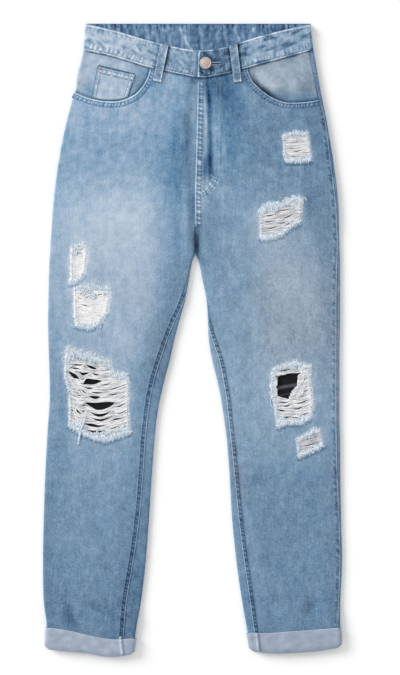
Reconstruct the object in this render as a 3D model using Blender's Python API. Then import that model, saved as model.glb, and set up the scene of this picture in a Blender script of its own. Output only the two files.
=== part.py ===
"""Ripped jeans laid flat on a table, front up, with the waist towards +Y.

Right and left are the wearer's: the right leg lies at -X. Sizes are in millimetres,
and turn into metres where a mesh is made. A place on the garment is given by x,
across, and by its drop, the distance down from the upper edge of the back waistband.
"""
import math
from collections import namedtuple

import bmesh
import bpy

# ---- Driving sizes -------------------------------------------------------
MM = 0.001
LENGTH = 947.8          # waist to the lowest point of the turn-ups
HALF_LENGTH = LENGTH / 2
GAP = 0.3               # between pieces that are sewn or rest together
DENIM = 1.3             # one layer of denim
BAND = 2.6              # waistband: two layers
THIN = 1.0              # pocket bag, fly shield, thread mats, knee cloth
LOOP = 1.2              # belt loops and back pockets

FLAT_HEIGHT = 6.2       # outside height of the flattened tube of a leg
HEM_HEIGHT = 7.6        # the same inside the turn-ups, where the cloth is fuller
SEAT_LIFT = 1.5         # the seat lies on its pockets and belt loops
CUFF_LIFT = 1.6         # the leg lies on the turn-up that goes round it
FLY_LIFT = 1.0          # the front rises over the zip and its shield
LAP_LIFT = 1.6          # the waistband rises where its ends lie over each other

CENTRE = 4.5            # centre seam, front and back
CROTCH = 344.0          # drop of the crotch
BAND_SIDE = 41.0        # drop of the waistband's seam at the sides
YOKE_SIDE = 76.0        # drop of the yoke seam at the sides
YOKE_CENTRE = 106.0     # the same at the centre back
HEM = 938.0             # nominal drop of the leg's end
CUFF_TOP = 910.0        # nominal drop of the turn-up's upper edge
CUFF_BEND = DENIM * 1.5 + GAP   # outer radius of the turn-up's fold round the leg's end
CUFF_INSIDE = 7.0       # how far the turn-up is drawn on inside the leg
LEG_END = 2.0           # how far the leg's end stays back from the turn-up's fold
CROTCH_DIP = 1.8        # how far the front sinks between the legs, above the crotch
CROTCH_RISE = 1.2       # how far the back rises there
FACING_END = 138.0      # drop at which the pocket facings end
BAG_END = 232.0         # drop at which the pocket bags end

BAND_TOP = SEAT_LIFT + FLAT_HEIGHT + 0.6    # outer face of the front of the waistband
BAND_MIDDLE = (BAND_TOP + SEAT_LIFT) / 2    # half-way up the band's side folds
BAND_FOLD = (BAND_TOP - SEAT_LIFT) / 2      # outer radius of those folds
BAND_LAP = 7.6          # x at which the band's upper end stops
BAND_UNDERLAP = 42.0    # x at which its lower end stops

BUTTON_X = 19.5
BUTTON_DROP = 60.0
BUTTON_RADIUS = 8.8
BUTTON_NECK = 3.4
BUTTON_HEIGHT = 3.0
EYELET_RADIUS = 4.0
SLIT_END = 40.0
SLIT_WIDTH = 1.8

# ---- Tables --------------------------------------------------------------
# Where the edges and seams of the flattened legs lie, down the garment.
LEG_COLUMNS = ("drop", "right_outer", "right_inner", "right_inseam",
               "left_inner", "left_inseam", "left_outseam", "left_outer")
LEG_ROWS = (
    (0, -160.5, 4.4, 4.4, 4.6, 4.6, 169.0, 176.0),
    (41, -163.5, 4.4, 4.4, 4.6, 4.6, 174.0, 181.5),
    (76, -172.5, 4.4, 4.4, 4.6, 4.6, 181.0, 187.5),
    (99, -176.0, 4.4, 4.4, 4.6, 4.6, 186.0, 191.5),
    (144, -188.0, 4.4, 4.4, 4.6, 4.6, 195.0, 200.5),
    (204, -200.0, 4.4, 4.4, 4.6, 4.6, 203.0, 210.5),
    (264, -208.0, 4.4, 4.4, 4.6, 4.6, 210.5, 218.0),
    (324, -212.5, 4.4, 4.4, 4.6, 4.6, 214.0, 220.0),
    (344, -213.5, 4.2, 4.2, 4.8, 4.8, 214.0, 220.5),
    (356, -214.5, -0.5, -0.5, 9.5, 9.5, 213.5, 221.0),
    (384, -215.5, -5.5, -8.0, 15.0, 15.0, 212.5, 221.0),
    (414, -216.0, -11.0, -17.0, 21.0, 21.5, 212.0, 221.0),
    (444, -216.5, -19.5, -31.0, 23.0, 27.0, 212.0, 221.0),
    (474, -216.0, -27.5, -43.0, 24.5, 36.0, 212.0, 220.5),
    (504, -215.0, -34.0, -53.0, 29.5, 46.0, 212.0, 220.0),
    (534, -214.0, -42.0, -62.0, 37.0, 52.0, 212.0, 220.0),
    (564, -214.0, -49.0, -68.0, 43.0, 57.0, 212.0, 220.0),
    (594, -216.0, -54.0, -72.0, 47.5, 60.0, 212.0, 220.0),
    (624, -218.0, -57.0, -75.0, 51.5, 63.5, 212.5, 221.0),
    (684, -221.0, -61.5, -79.0, 56.0, 69.5, 214.0, 221.5),
    (744, -223.0, -65.5, -84.5, 59.5, 75.5, 216.5, 222.5),
    (804, -224.0, -70.0, -93.0, 65.5, 83.0, 218.0, 224.0),
    (864, -223.0, -77.0, -103.0, 74.0, 92.0, 216.0, 221.5),
    (903, -218.5, -84.0, -106.5, 80.5, 97.0, 214.5, 221.0),
    (925, -219.5, -87.0, -108.5, 84.5, 100.0, 215.5, 222.2),
    (948, -220.0, -88.5, -110.0, 87.0, 102.0, 215.5, 221.5),
)

# Upper and lower edge of the front of the waistband, across the garment.
BAND_COLUMNS = ("x", "top", "seam")
BAND_ROWS = (
    (-163, 1.0, 41.0), (-121, 10.0, 50.0), (-70, 24.5, 65.5), (-38, 32.5, 73.0),
    (-10, 38.5, 79.0), (14, 40.5, 82.5), (36, 38.5, 79.5), (60, 32.5, 74.0),
    (95, 21.0, 64.0), (140, 9.5, 52.0), (180, 1.5, 41.0),
)

# The line of the lapped left front's edge, down the centre.
LAP_COLUMNS = ("drop", "x", "under")
LAP_ROWS = ((0, 7.6, 6.0), (84, 7.6, 6.0), (226, 4.4, 6.0), (258, 3.4, 5.0), (290, 3.8, 3.0),
            (318, 4.4, -0.3), (344, 4.6, -0.3))

# Turn-ups: upper edge and fold, at fractions of the width from the outer edge.
CUFF_COLUMNS = ("share", "right_top", "right_fold", "left_top", "left_fold")
CUFF_ROWS = (
    (0.00, 903.0, 937.0, 903.5, 934.5),
    (0.25, 908.0, 940.0, 906.5, 939.5),
    (0.50, 915.5, 943.0, 909.0, 942.0),
    (0.65, 919.5, 946.8, 910.5, 943.0),
    (0.80, 921.5, 947.8, 912.0, 942.5),
    (1.00, 919.5, 944.5, 911.5, 940.0),
)

# The largest folds of the front: a ridge stands up and a trough goes down (mm, degrees).
Fold = namedtuple("Fold", "x drop half_length half_width turn height")
FOLDS = (
    Fold(30, 205, 34, 8, 80, -0.7),
    Fold(52, 170, 60, 12, 78, 0.8),
    Fold(-120, 232, 62, 13, 4, -0.6),
    Fold(-95, 266, 70, 14, -3, 0.7),
    Fold(176, 264, 30, 9, 84, -0.9),
    Fold(92, 330, 60, 14, 48, 0.7),
    Fold(-60, 470, 70, 13, 62, 0.7),
    Fold(150, 668, 46, 13, 28, 0.7),
    Fold(-181, 880, 22, 9, 70, -1.1),
    Fold(-150, 872, 28, 12, 98, 0.8),
    Fold(178, 874, 28, 10, 98, -1.0),
)

# Rips: outlines of the worn openings, drop growing downwards.
RIPS = {
    "thigh_upper_right": ((-180, 334), (-162, 330), (-158, 343), (-160, 361), (-163, 376),
                          (-172, 387), (-182, 389), (-182, 362)),
    "thigh_right": ((-177, 397), (-167, 392), (-126, 396), (-124, 407), (-128, 432),
                    (-139, 449), (-152, 457), (-173, 453), (-176, 435)),
    "knee_right": ((-188, 485), (-169, 490), (-168, 498), (-154, 494), (-140, 501), (-124, 505),
                   (-121, 523), (-100, 526), (-95, 538), (-97, 576), (-96, 598), (-94, 612),
                   (-112, 619), (-131, 625), (-146, 621), (-168, 613), (-184, 602), (-183, 585),
                   (-184, 552), (-190, 530), (-191, 508)),
    "hip_left": ((136, 168), (153, 163), (171, 163), (175, 182), (177, 205), (163, 207),
                 (141, 207), (137, 196)),
    "thigh_left": ((101, 279), (111, 271), (124, 269), (134, 271), (150, 261), (164, 262),
                   (163, 278), (160, 299), (146, 306), (134, 316), (117, 322), (103, 322)),
    "knee_left": ((121, 517), (155, 506), (163, 511), (177, 512), (175, 535), (179, 556),
                  (179, 575), (176, 591), (163, 598), (143, 598), (129, 604), (125, 586),
                  (124, 572), (118, 553), (118, 538)),
    "shin_left": ((157, 622), (170, 616), (181, 608), (190, 609), (195, 632), (176, 642),
                  (160, 649)),
}
# Where no thread is left in a knee rip: slits that sag in the middle like a smile.
Slit = namedtuple("Slit", "x drop half_width half_height sag")
SLITS = {
    "knee_right": (Slit(-158, 531, 24, 3.0, 6), Slit(-138, 574, 21, 3.8, 8),
                   Slit(-140, 590, 20, 1.4, 5), Slit(-142, 606, 22, 1.4, 5)),
    "knee_left": (Slit(152, 574, 11, 1.1, 1),),
}
KNEE_HOLE = ((131, 529), (162, 523.5), (155, 535), (151, 549), (132, 558))

# Mouth of each front pocket, cut through the front panel down to the facing.
POCKET_MOUTHS = {
    "right": ((-64, 30), (-64, 72), (-68, 83), (-75, 95), (-85, 106), (-98, 113), (-112, 117),
              (-132, 117), (-152, 113), (-166, 108), (-176.5, 103), (-190, 98), (-190, 30)),
    "left": ((83, 30), (83, 72), (90, 87), (103, 100), (117, 110), (130, 116), (143, 119),
             (164, 118.5), (178, 117), (196, 113), (205, 108), (205, 30)),
}
FACING_INNER = {"right": -57.0, "left": 76.0}
COIN_CORNERS = {"top_left": (-141, 64.5), "top_right": (-86, 77.5),
                "bottom_right": (-97, 110.5), "bottom_left": (-150, 110.5)}

# Five sided back pockets, as offsets from the middle of the upper edge.
BACK_POCKET = ((-72, 0), (72, 0), (63, 118), (0, 148), (-63, 118))
BACK_POCKETS = {"right": (-84, 122), "left": (96, 122)}

# Belt loops at the front: x and drop at the upper and the lower end.
FRONT_LOOPS = {"right": (-42, 32.5, -52, 86), "left": (61, 33, 67, 87)}
BACK_LOOPS = {"side_right": -108, "centre_back": 5, "side_left": 124}
LOOP_WIDTH = 13.0
BACK_LOOP_LENGTH = 56.0

# Drops of the rows of points that the panels are made of.
PANEL_DROPS = (41, 76, 110, 150, 195, 235, 262, 290, 318, 332, 344, 356, 385, 420, 465, 515, 570,
               640, 720, 800, 862, 884, 896, HEM)
WRAP = 3.0              # how far past the outer fold the right outseam lies, underneath
FRONT_FLAT = (0.13, 0.26, 0.39, 0.52, 0.65, 0.78, 0.9)
BACK_FLAT = (0.33, 0.66)


# ---- Reading the tables --------------------------------------------------
def smooth(low, high, value):
    """A soft step from 0 at low to 1 at high."""
    share = min(1.0, max(0.0, (value - low) / (high - low)))
    return share * share * (3.0 - 2.0 * share)


def read(rows, columns, name, place):
    """The value of a column at a place of the first column, on a smooth curve."""
    key = columns.index(name)
    last = len(rows) - 1
    if place <= rows[0][0]:
        return rows[0][key]
    if place >= rows[last][0]:
        return rows[last][key]
    after = next(i for i, row in enumerate(rows) if row[0] > place)
    a, b = rows[after - 1], rows[after]
    before = rows[max(after - 2, 0)]
    beyond = rows[min(after + 1, last)]
    slope_a = (b[key] - before[key]) / (b[0] - before[0])
    slope_b = (beyond[key] - a[key]) / (beyond[0] - a[0])
    span = b[0] - a[0]
    t = (place - a[0]) / span
    return (a[key] * (1 + 2 * t) * (1 - t) ** 2 + b[key] * t * t * (3 - 2 * t)
            + span * t * (1 - t) * (slope_a * (1 - t) - slope_b * t))


def band_edge(name, x):
    """Drop of the front waistband's top or seam at x."""
    return read(BAND_ROWS, BAND_COLUMNS, name, x)


def lap_edge(drop):
    """x of the lapped edge of the left front."""
    return read(LAP_ROWS, LAP_COLUMNS, "x", drop)


def yoke_seam(x):
    """Drop of the back yoke's lower seam at x."""
    half = 175.0
    return YOKE_SIDE + (YOKE_CENTRE - YOKE_SIDE) * max(0.0, 1 - abs(x - CENTRE) / half)


# ---- The flattened tube --------------------------------------------------
def floor_height(drop):
    """Height of the underside of the back at a drop."""
    seat = SEAT_LIFT * (1 - smooth(285, 330, drop))
    hem = CUFF_LIFT * smooth(872, 894, drop)
    return seat + hem


def tube_height(drop):
    """Outside height of the flattened tube."""
    return FLAT_HEIGHT + (HEM_HEIGHT - FLAT_HEIGHT) * smooth(866, 894, drop)


def fold_height(x, drop):
    """How far the folds raise or lower the front at a place."""
    total = 0.0
    for fold_x, fold_drop, half_length, half_width, turn, height in FOLDS:
        angle = math.radians(turn)
        across, down = x - fold_x, drop - fold_drop
        along = across * math.cos(angle) + down * math.sin(angle)
        aside = down * math.cos(angle) - across * math.sin(angle)
        total += height * math.exp(-(along / half_length) ** 2 - (aside / half_width) ** 2)
    return total


def fly_rise(x, drop):
    """The rise of the front over the zip and its shield."""
    across = smooth(-34, -14, x) * (1 - smooth(34, 56, x))
    down = 1 - smooth(258, 300, drop)
    return FLY_LIFT * across * down


class Leg:
    """One side of the garment: half of the hips above the crotch, a leg below it."""

    def __init__(self, name, sign):
        self.name = name
        self.sign = sign

    def column(self, name, drop):
        """A column of the leg table for this side."""
        return read(LEG_ROWS, LEG_COLUMNS, self.name + "_" + name, drop)

    def quarter(self, drop):
        """A quarter of the way round a folded edge."""
        return math.pi / 4 * tube_height(drop)

    def outseam_run(self, drop):
        """Run from half-way up the outer fold to the outseam, negative underneath."""
        if self.name == "right":
            return -(self.quarter(drop) + WRAP)
        inside = self.column("outer", drop) - self.column("outseam", drop)
        return self.quarter(drop) + inside - tube_height(drop) / 2

    def inseam_run(self, drop):
        """Run from half-way up the inner fold to the inseam on the front."""
        radius = tube_height(drop) / 2
        inside = abs(self.column("inseam", drop) - self.column("inner", drop))
        if inside < radius:
            return math.acos(1 - inside / radius) * radius
        return self.quarter(drop) + inside - radius

    def length(self, drop):
        """Run from the outer fold's middle to the inner fold's, or to the centre seam."""
        radius = tube_height(drop) / 2
        width = abs(self.column("outer", drop) - self.column("inner", drop))
        if drop < CROTCH:
            return self.quarter(drop) + width - radius
        return 2 * self.quarter(drop) + width - 2 * radius

    def around(self, drop, run, side, grow=0.0):
        """The point (x, z) after a run from half-way up the outer fold.

        The side is 1 to go over the front and -1 to go under the back; grow moves the
        point outwards. A run past the inner fold comes back on the other side.
        """
        total = self.length(drop)
        if run < 0:
            return self.around(drop, -run, -side, grow)
        if drop >= CROTCH and run > total:
            return self.around(drop, 2 * total - run, -side, grow)
        radius = tube_height(drop) / 2
        quarter = self.quarter(drop)
        reach = radius + grow
        middle = floor_height(drop) + radius
        outer = self.column("outer", drop) - self.sign * radius
        inner = self.column("inner", drop) + self.sign * radius
        if run < quarter:
            turn = run / radius
            return outer + self.sign * reach * math.cos(turn), middle + side * reach * math.sin(turn)
        if drop >= CROTCH and run > total - quarter:
            turn = (total - run) / radius
            return inner - self.sign * reach * math.cos(turn), middle + side * reach * math.sin(turn)
        x = outer - self.sign * (run - quarter)
        z = middle + side * reach
        if side > 0:
            return x, z + self.relief(x, drop)
        if drop < CROTCH:
            from_centre = abs(self.column("inner", drop) - x)
            z += CROTCH_RISE * smooth(314, CROTCH, drop) * math.exp(-from_centre / 6.0)
        return x, z

    def relief(self, x, drop):
        """Rise of the front above the plain tube, none near the folded edges."""
        radius = tube_height(drop) / 2
        inner = self.column("inner", drop)
        from_outer = abs(self.column("outer", drop) - x) - radius
        from_inner = abs(inner - x) - radius
        if drop < CROTCH:
            dip = smooth(278, CROTCH, drop) * math.exp(-abs(inner - x) / 8.0)
            rise = fold_height(x, drop) + fly_rise(x, drop)
            return rise * smooth(0, 12, from_outer) - CROTCH_DIP * dip
        edges = smooth(0, 12, from_outer) * smooth(0, 10, from_inner)
        return fold_height(x, drop) * edges * (1 - smooth(876, 896, drop))

    def front(self, x, drop):
        """Height of the front's outer face at a place, away from the folded edges."""
        return floor_height(drop) + tube_height(drop) + self.relief(x, drop)

    def cuff_edge(self, edge, x):
        """Drop of the turn-up's top or fold at x."""
        outer, inner = self.column("outer", HEM), self.column("inner", HEM)
        share = min(1.0, max(0.0, (outer - x) / (outer - inner)))
        return read(CUFF_ROWS, CUFF_COLUMNS, self.name + "_" + edge, share)

    def hem_shift(self, x, drop):
        """How much lower than its nominal drop the leg lies at x near its slanted end."""
        lift = self.cuff_edge("fold", x) - CUFF_BEND - HEM
        return (lift - LEG_END) * smooth(840, HEM, drop)


RIGHT = Leg("right", -1)
LEFT = Leg("left", 1)
LEGS = (RIGHT, LEFT)


# ---- Making solids -------------------------------------------------------
def material(name, colour, roughness, metallic=0.0):
    """A plain Principled material."""
    made = bpy.data.materials.new(name)
    made.use_nodes = True
    shader = made.node_tree.nodes["Principled BSDF"]
    shader.inputs["Base Color"].default_value = (*colour, 1.0)
    shader.inputs["Roughness"].default_value = roughness
    shader.inputs["Metallic"].default_value = metallic
    return made


def link(name, mesh, finish):
    """Put a mesh into the scene as a named sub-part with its own material."""
    made = bpy.data.objects.new(name, mesh)
    bpy.context.scene.collection.objects.link(made)
    own = finish.copy()
    own.name = name + "_" + finish.name
    mesh.materials.append(own)
    return made


def world(x, drop, z):
    """The point in metres for a place in millimetres."""
    return x * MM, (HALF_LENGTH - drop) * MM, z * MM


def cloth(name, outer, inner, finish, ring=False):
    """A closed wall of cloth between an outer and an inner face.

    Both faces are rows of (x, drop, z), seen from outside with the first row on top and
    each row running to the right. A ring's rows close on themselves.
    """
    shape = bmesh.new()
    faces = [[[shape.verts.new(world(*place)) for place in row] for row in face]
             for face in (outer, inner)]
    across, down = len(outer[0]), len(outer)
    steps = across if ring else across - 1
    for side, face in enumerate(faces):
        for i in range(down - 1):
            for j in range(steps):
                k = (j + 1) % across
                corners = [face[i][j], face[i + 1][j], face[i + 1][k], face[i][k]]
                shape.faces.new(corners if side == 0 else corners[::-1])
    out, back = faces
    rims = [[(0, j) for j in range(across)][::-1], [(down - 1, j) for j in range(across)]]
    if ring:
        rims = [rim + rim[:1] for rim in rims]
    else:
        rims += [[(i, 0) for i in range(down)], [(i, across - 1) for i in range(down)][::-1]]
    for rim in rims:
        for (i, j), (m, n) in zip(rim, rim[1:]):
            shape.faces.new([out[m][n], out[i][j], back[i][j], back[m][n]])
    bmesh.ops.recalc_face_normals(shape, faces=shape.faces)
    mesh = bpy.data.meshes.new(name)
    shape.to_mesh(mesh)
    shape.free()
    mesh.shade_smooth()
    mesh.set_sharp_from_angle(angle=math.radians(50))
    return link(name, mesh, finish)


def sheet(name, rows, wall, finish):
    """A wall of cloth that lies nearly flat, given by its upper face."""
    lower = [[(x, drop, z - wall) for x, drop, z in row] for row in rows]
    return cloth(name, rows, lower, finish)


def prism(name, outline, low=-5.0, high=25.0):
    """A cutter: an outline of (x, drop) extruded upwards, left out of the model."""
    mesh = bpy.data.meshes.new(name)
    shape = bmesh.new()
    base = shape.faces.new([shape.verts.new(world(x, drop, low)) for x, drop in outline])
    wall = bmesh.ops.extrude_face_region(shape, geom=[base])["geom"]
    tops = [part for part in wall if isinstance(part, bmesh.types.BMVert)]
    bmesh.ops.translate(shape, verts=tops, vec=(0, 0, (high - low) * MM))
    bmesh.ops.recalc_face_normals(shape, faces=shape.faces)
    shape.to_mesh(mesh)
    shape.free()
    made = bpy.data.objects.new(name, mesh)
    bpy.context.scene.collection.objects.link(made)
    made.hide_render = True
    made.display_type = "WIRE"
    return made


def cut(piece, cutter, operation="DIFFERENCE"):
    """Cut a piece with a cutter, or keep only what lies inside it."""
    change = piece.modifiers.new(cutter.name, "BOOLEAN")
    change.operation = operation
    change.object = cutter


def inset(outline, distance):
    """An outline moved inwards, each corner along the mean of its two sides' normals."""
    area = sum(a[0] * b[1] - b[0] * a[1] for a, b in zip(outline, outline[1:] + outline[:1]))
    turn = 1.0 if area > 0 else -1.0
    moved = []
    for i, (x, drop) in enumerate(outline):
        before, after = outline[i - 1], outline[(i + 1) % len(outline)]
        normals = []
        for start, end in ((before, (x, drop)), ((x, drop), after)):
            run = math.dist(start, end)
            normals.append((-(end[1] - start[1]) / run * turn, (end[0] - start[0]) / run * turn))
        mean_x = normals[0][0] + normals[1][0]
        mean_drop = normals[0][1] + normals[1][1]
        scale = distance / max(0.35, (mean_x * normals[0][0] + mean_drop * normals[0][1]))
        moved.append((x + mean_x * scale, drop + mean_drop * scale))
    return moved


def smile(x, drop, half_width, half_height, sag):
    """The outline of a sagging slit between threads."""
    steps = 4
    upper, lower = [], []
    for i in range(steps + 1):
        share = i / steps * 2 - 1
        droop = sag * (1 - share * share) + drop - sag
        lens = half_height * (1 - share * share) + 0.2
        upper.append((x + share * half_width, droop - lens))
        lower.append((x + share * half_width, droop + lens))
    return upper + lower[::-1]


def spread(shares, start, end):
    """Places from start to end at the given shares."""
    return [start + (end - start) * share for share in shares]


def even(count):
    """Even shares from 0 to 1."""
    return [i / count for i in range(count + 1)]


# ---- Materials -----------------------------------------------------------
DENIM_BLUE = material("denim", (0.27, 0.42, 0.59), 0.85)
DENIM_PALE = material("pale_denim", (0.42, 0.52, 0.62), 0.88)
DENIM_REVERSE = material("reverse", (0.47, 0.52, 0.58), 0.9)
THREAD_WHITE = material("white_thread", (0.74, 0.74, 0.75), 0.95)
DARK_CLOTH = material("dark_cloth", (0.02, 0.024, 0.03), 0.9)
COTTON = material("cotton", (0.78, 0.77, 0.74), 0.9)
COPPER = material("copper", (0.62, 0.52, 0.47), 0.35, 1.0)


# ---- Front and back panels ----------------------------------------------
def seam_start(leg, drop, side):
    """Runs from the outseam, round the outer fold where the piece goes round it."""
    start = side * leg.outseam_run(drop) + GAP / 2
    quarter = leg.quarter(drop)
    if start > -quarter:
        return [start]
    return [start, -quarter, -quarter / 2, 0.0, quarter / 2, quarter]


def front_runs(leg, drop):
    """Runs of a row of the front, from the outseam to the centre or the inseam."""
    starts = seam_start(leg, drop, 1)
    total = leg.length(drop)
    if drop < CROTCH:
        end = total - leg.sign * (lap_edge(drop) - leg.column("inner", drop))
        if leg is RIGHT:
            end += read(LAP_ROWS, LAP_COLUMNS, "under", drop)
        ends = [end - 8, end - 3, end]
    else:
        end = total - leg.inseam_run(drop) - GAP / 2
        bend = min(total - leg.quarter(drop), end - 3)
        ends = [bend, (bend + end) / 2, end]
    return starts + spread(FRONT_FLAT, starts[-1], ends[0]) + ends


def back_runs(leg, drop):
    """Runs of a row of the back, from the outseam to the centre or the inseam."""
    starts = seam_start(leg, drop, -1)
    total, quarter = leg.length(drop), leg.quarter(drop)
    end = total - GAP / 2
    if drop >= CROTCH:
        end += leg.inseam_run(drop)
    bend = total - quarter
    fit = min(1.0, (end - bend) / (2 * quarter + 1.3))
    ends = [bend + share * quarter * fit for share in (0, 0.5, 1, 1.5, 2)] + [end]
    return starts + spread(BACK_FLAT, starts[-1], ends[0]) + ends


def tuck(leg, x, drop):
    """How far the right front dives under the left one at the fly."""
    if leg is LEFT or drop >= CROTCH:
        return 0.0
    under = 1 - smooth(2, 14, lap_edge(drop) - x)
    return (DENIM + GAP) * under * (1 - smooth(318, CROTCH, drop))


def band_seam(x, z):
    """Drop of the band's seam at x, which differs between the front and the back."""
    return GAP + (band_edge("seam", x) if z > SEAT_LIFT + FLAT_HEIGHT / 3 else BAND_SIDE)


def between_rows(nominal, points_at):
    """Points on the straight stretch between the panels' rows on both sides of a drop."""
    above = max(drop for drop in PANEL_DROPS if drop <= nominal)
    below = min(drop for drop in PANEL_DROPS if drop >= nominal)
    share = (nominal - above) / (below - above) if below > above else 0.0
    pairs = zip(points_at(above), points_at(below))
    return [(a[0] + (b[0] - a[0]) * share, a[1] + (b[1] - a[1]) * share) for a, b in pairs]


def front_panel(leg):
    """The front of one side, from the waistband to inside the turn-up."""
    faces = []
    for grow in (0.0, -DENIM):
        rows = []
        for nominal in PANEL_DROPS:
            row = []
            for run in front_runs(leg, nominal):
                x, z = leg.around(nominal, run, 1, grow)
                seam = band_seam(x, z)
                drop = nominal + (seam - BAND_SIDE) * (1 - smooth(BAND_SIDE, 240, nominal))
                drop += leg.hem_shift(x, nominal)
                row.append((x, drop, z - tuck(leg, x, nominal)))
            rows.append(row)
        faces.append(rows)
    made = cloth("front_" + leg.name, *faces, DENIM_BLUE)
    cut(made, prism("mouth_" + leg.name, POCKET_MOUTHS[leg.name]))
    for rip, outline in RIPS.items():
        if rip.endswith(leg.name):
            cut(made, prism("worn_" + rip, outline))
    return made


def back_piece(leg, name, drops, drop_of):
    """A piece of the back; it goes round the folds up to the seams on the front."""
    faces = []
    for grow in (0.0, -DENIM):
        rows = []
        for nominal in drops:
            row = []
            for run in back_runs(leg, nominal):
                x, z = leg.around(nominal, run, -1, grow)
                row.append((x, drop_of(x, z, nominal), z))
            rows.append(row)
        faces.append(rows)
    return cloth(name, *faces, DENIM_BLUE)


def back_panel(leg):
    """The back of one side, from the yoke to inside the turn-up."""

    def drop_of(x, z, nominal):
        seam = yoke_seam(x) + GAP / 2
        shift = (seam - YOKE_SIDE) * (1 - smooth(YOKE_SIDE, 240, nominal))
        return nominal + shift + leg.hem_shift(x, nominal)

    drops = [nominal for nominal in PANEL_DROPS if nominal >= YOKE_SIDE]
    return back_piece(leg, "back_" + leg.name, drops, drop_of)


def yoke(leg):
    """The yoke between the waistband and the back panel."""

    def drop_of(x, z, nominal):
        share = (nominal - BAND_SIDE) / (YOKE_SIDE - BAND_SIDE)
        return band_seam(x, z) * (1 - share) + (yoke_seam(x) - GAP / 2) * share

    return back_piece(leg, "yoke_" + leg.name, (BAND_SIDE, YOKE_SIDE), drop_of)


# ---- Waistband, belt loops and button ------------------------------------
def lap_rise(x):
    """The rise of the front of the band over its own lower end."""
    return LAP_LIFT * smooth(-22, -4, x) * (1 - smooth(43, 53, x))


def band_front(place, grow, lowered=0.0):
    """A column of the band's front at x = place, from its top to its seam."""
    top, seam = band_edge("top", place), band_edge("seam", place)
    z = BAND_TOP + lap_rise(place) - lowered + grow
    return [(place, drop, z) for drop in (top, (top + seam) / 2, seam)]


def band_fold(leg, degrees, grow):
    """A column of the band as it turns round the fold at one side."""
    turn = math.radians(degrees)
    reach = BAND_FOLD + grow
    z = BAND_MIDDLE + reach * math.sin(turn)
    front = (1 + math.sin(turn)) / 2
    edge = leg.column("outer", BAND_SIDE) - leg.sign * BAND_FOLD
    top = front * band_edge("top", edge)
    column = []
    for drop in (top, (top + BAND_SIDE) / 2, BAND_SIDE):
        x = leg.column("outer", drop) - leg.sign * (BAND_FOLD - reach * math.cos(turn))
        column.append((x, drop, z))
    return column


def waistband():
    """The band as one strip: left end, left fold, back, right fold, lower end."""
    faces = []
    for grow in (0.0, -BAND):
        columns = []
        for place in (BAND_LAP, 14, 28, 42.5, 48, 53, 66, 85, 110, 135, 158, 170):
            columns.append(band_front(place, grow))
        for degrees in (90, 45, 0, -45, -90):
            columns.append(band_fold(LEFT, degrees, grow))
        for place in (110, 50, CENTRE, -50, -110):
            columns.append([(place, drop, SEAT_LIFT - grow) for drop in (0, BAND_SIDE / 2, BAND_SIDE)])
        for degrees in (-90, -45, 0, 45, 90):
            columns.append(band_fold(RIGHT, degrees, grow))
        for place in (-143, -121, -96, -70, -48, -30, -20, -12, -5, 1, 6, 14, 28, BAND_UNDERLAP):
            lowered = (BAND + GAP) * smooth(-18, 4, place)
            columns.append(band_front(place, grow, lowered))
        faces.append([[column[i] for column in columns] for i in range(3)])
    made = cloth("waistband", *faces, DENIM_BLUE)
    hole = [(BUTTON_X + EYELET_RADIUS * math.cos(math.radians(a)),
             BUTTON_DROP + EYELET_RADIUS * math.sin(math.radians(a))) for a in range(30, 331, 30)]
    slit = SLIT_WIDTH / 2
    hole = [(SLIT_END, BUTTON_DROP + 1 + slit)] + hole + [(SLIT_END, BUTTON_DROP + 1 - slit)]
    low = BAND_TOP + LAP_LIFT - BAND - GAP / 2
    cut(made, prism("buttonhole", hole, low=low, high=low + 8))
    return made


def button():
    """A tack button: a domed cap with a rolled rim on a neck through the buttonhole."""
    top = BAND_TOP + LAP_LIFT
    foot = top - BAND
    profile = ((0, foot), (BUTTON_NECK, foot), (BUTTON_NECK, top + GAP),
               (BUTTON_RADIUS - 1.2, top + GAP), (BUTTON_RADIUS, top + 1.1),
               (BUTTON_RADIUS - 0.2, top + 1.9), (BUTTON_RADIUS - 1.2, top + 2.2),
               (BUTTON_RADIUS - 2.0, top + 1.9), (BUTTON_RADIUS - 3.4, top + 2.2),
               (BUTTON_RADIUS - 5.6, top + 2.6), (0, top + BUTTON_HEIGHT))
    shape = bmesh.new()
    middle_x, middle_y, _ = world(BUTTON_X, BUTTON_DROP, 0)
    points = [shape.verts.new((middle_x + r * MM, middle_y, z * MM)) for r, z in profile]
    edges = [shape.edges.new(pair) for pair in zip(points, points[1:])]
    bmesh.ops.spin(shape, geom=points + edges, cent=(middle_x, middle_y, 0), axis=(0, 0, 1),
                   angle=math.tau, steps=20, use_merge=True)
    bmesh.ops.remove_doubles(shape, verts=shape.verts, dist=1e-6)
    bmesh.ops.recalc_face_normals(shape, faces=shape.faces)
    mesh = bpy.data.meshes.new("button")
    shape.to_mesh(mesh)
    shape.free()
    mesh.shade_smooth()
    return link("button", mesh, COPPER)


def front_loop(leg):
    """A belt loop over the band, sewn down above it and below its seam."""
    top_x, top_drop, low_x, low_drop = FRONT_LOOPS[leg.name]
    rows = []
    for share, lift in ((0, 0.0), (0.18, 0.7), (0.45, 1.0), (0.68, 0.8), (0.8, 0.1), (1, -0.5)):
        x = top_x + (low_x - top_x) * share
        drop = top_drop + (low_drop - top_drop) * share
        z = BAND_TOP + lap_rise(x) + GAP + LOOP + lift
        rows.append([(x + side * LOOP_WIDTH / 2, drop, z) for side in (-1, 1)])
    return sheet("belt_loop_front_" + leg.name, rows, LOOP, DENIM_BLUE)


def back_loop(name, x):
    """A belt loop on the underside, flat under the band and the top of the yoke."""
    rows = [[(x + side * LOOP_WIDTH / 2, drop, LOOP) for side in (-1, 1)]
            for drop in (0.5, BACK_LOOP_LENGTH)]
    return sheet("belt_loop_" + name, rows, LOOP, DENIM_BLUE)


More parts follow.
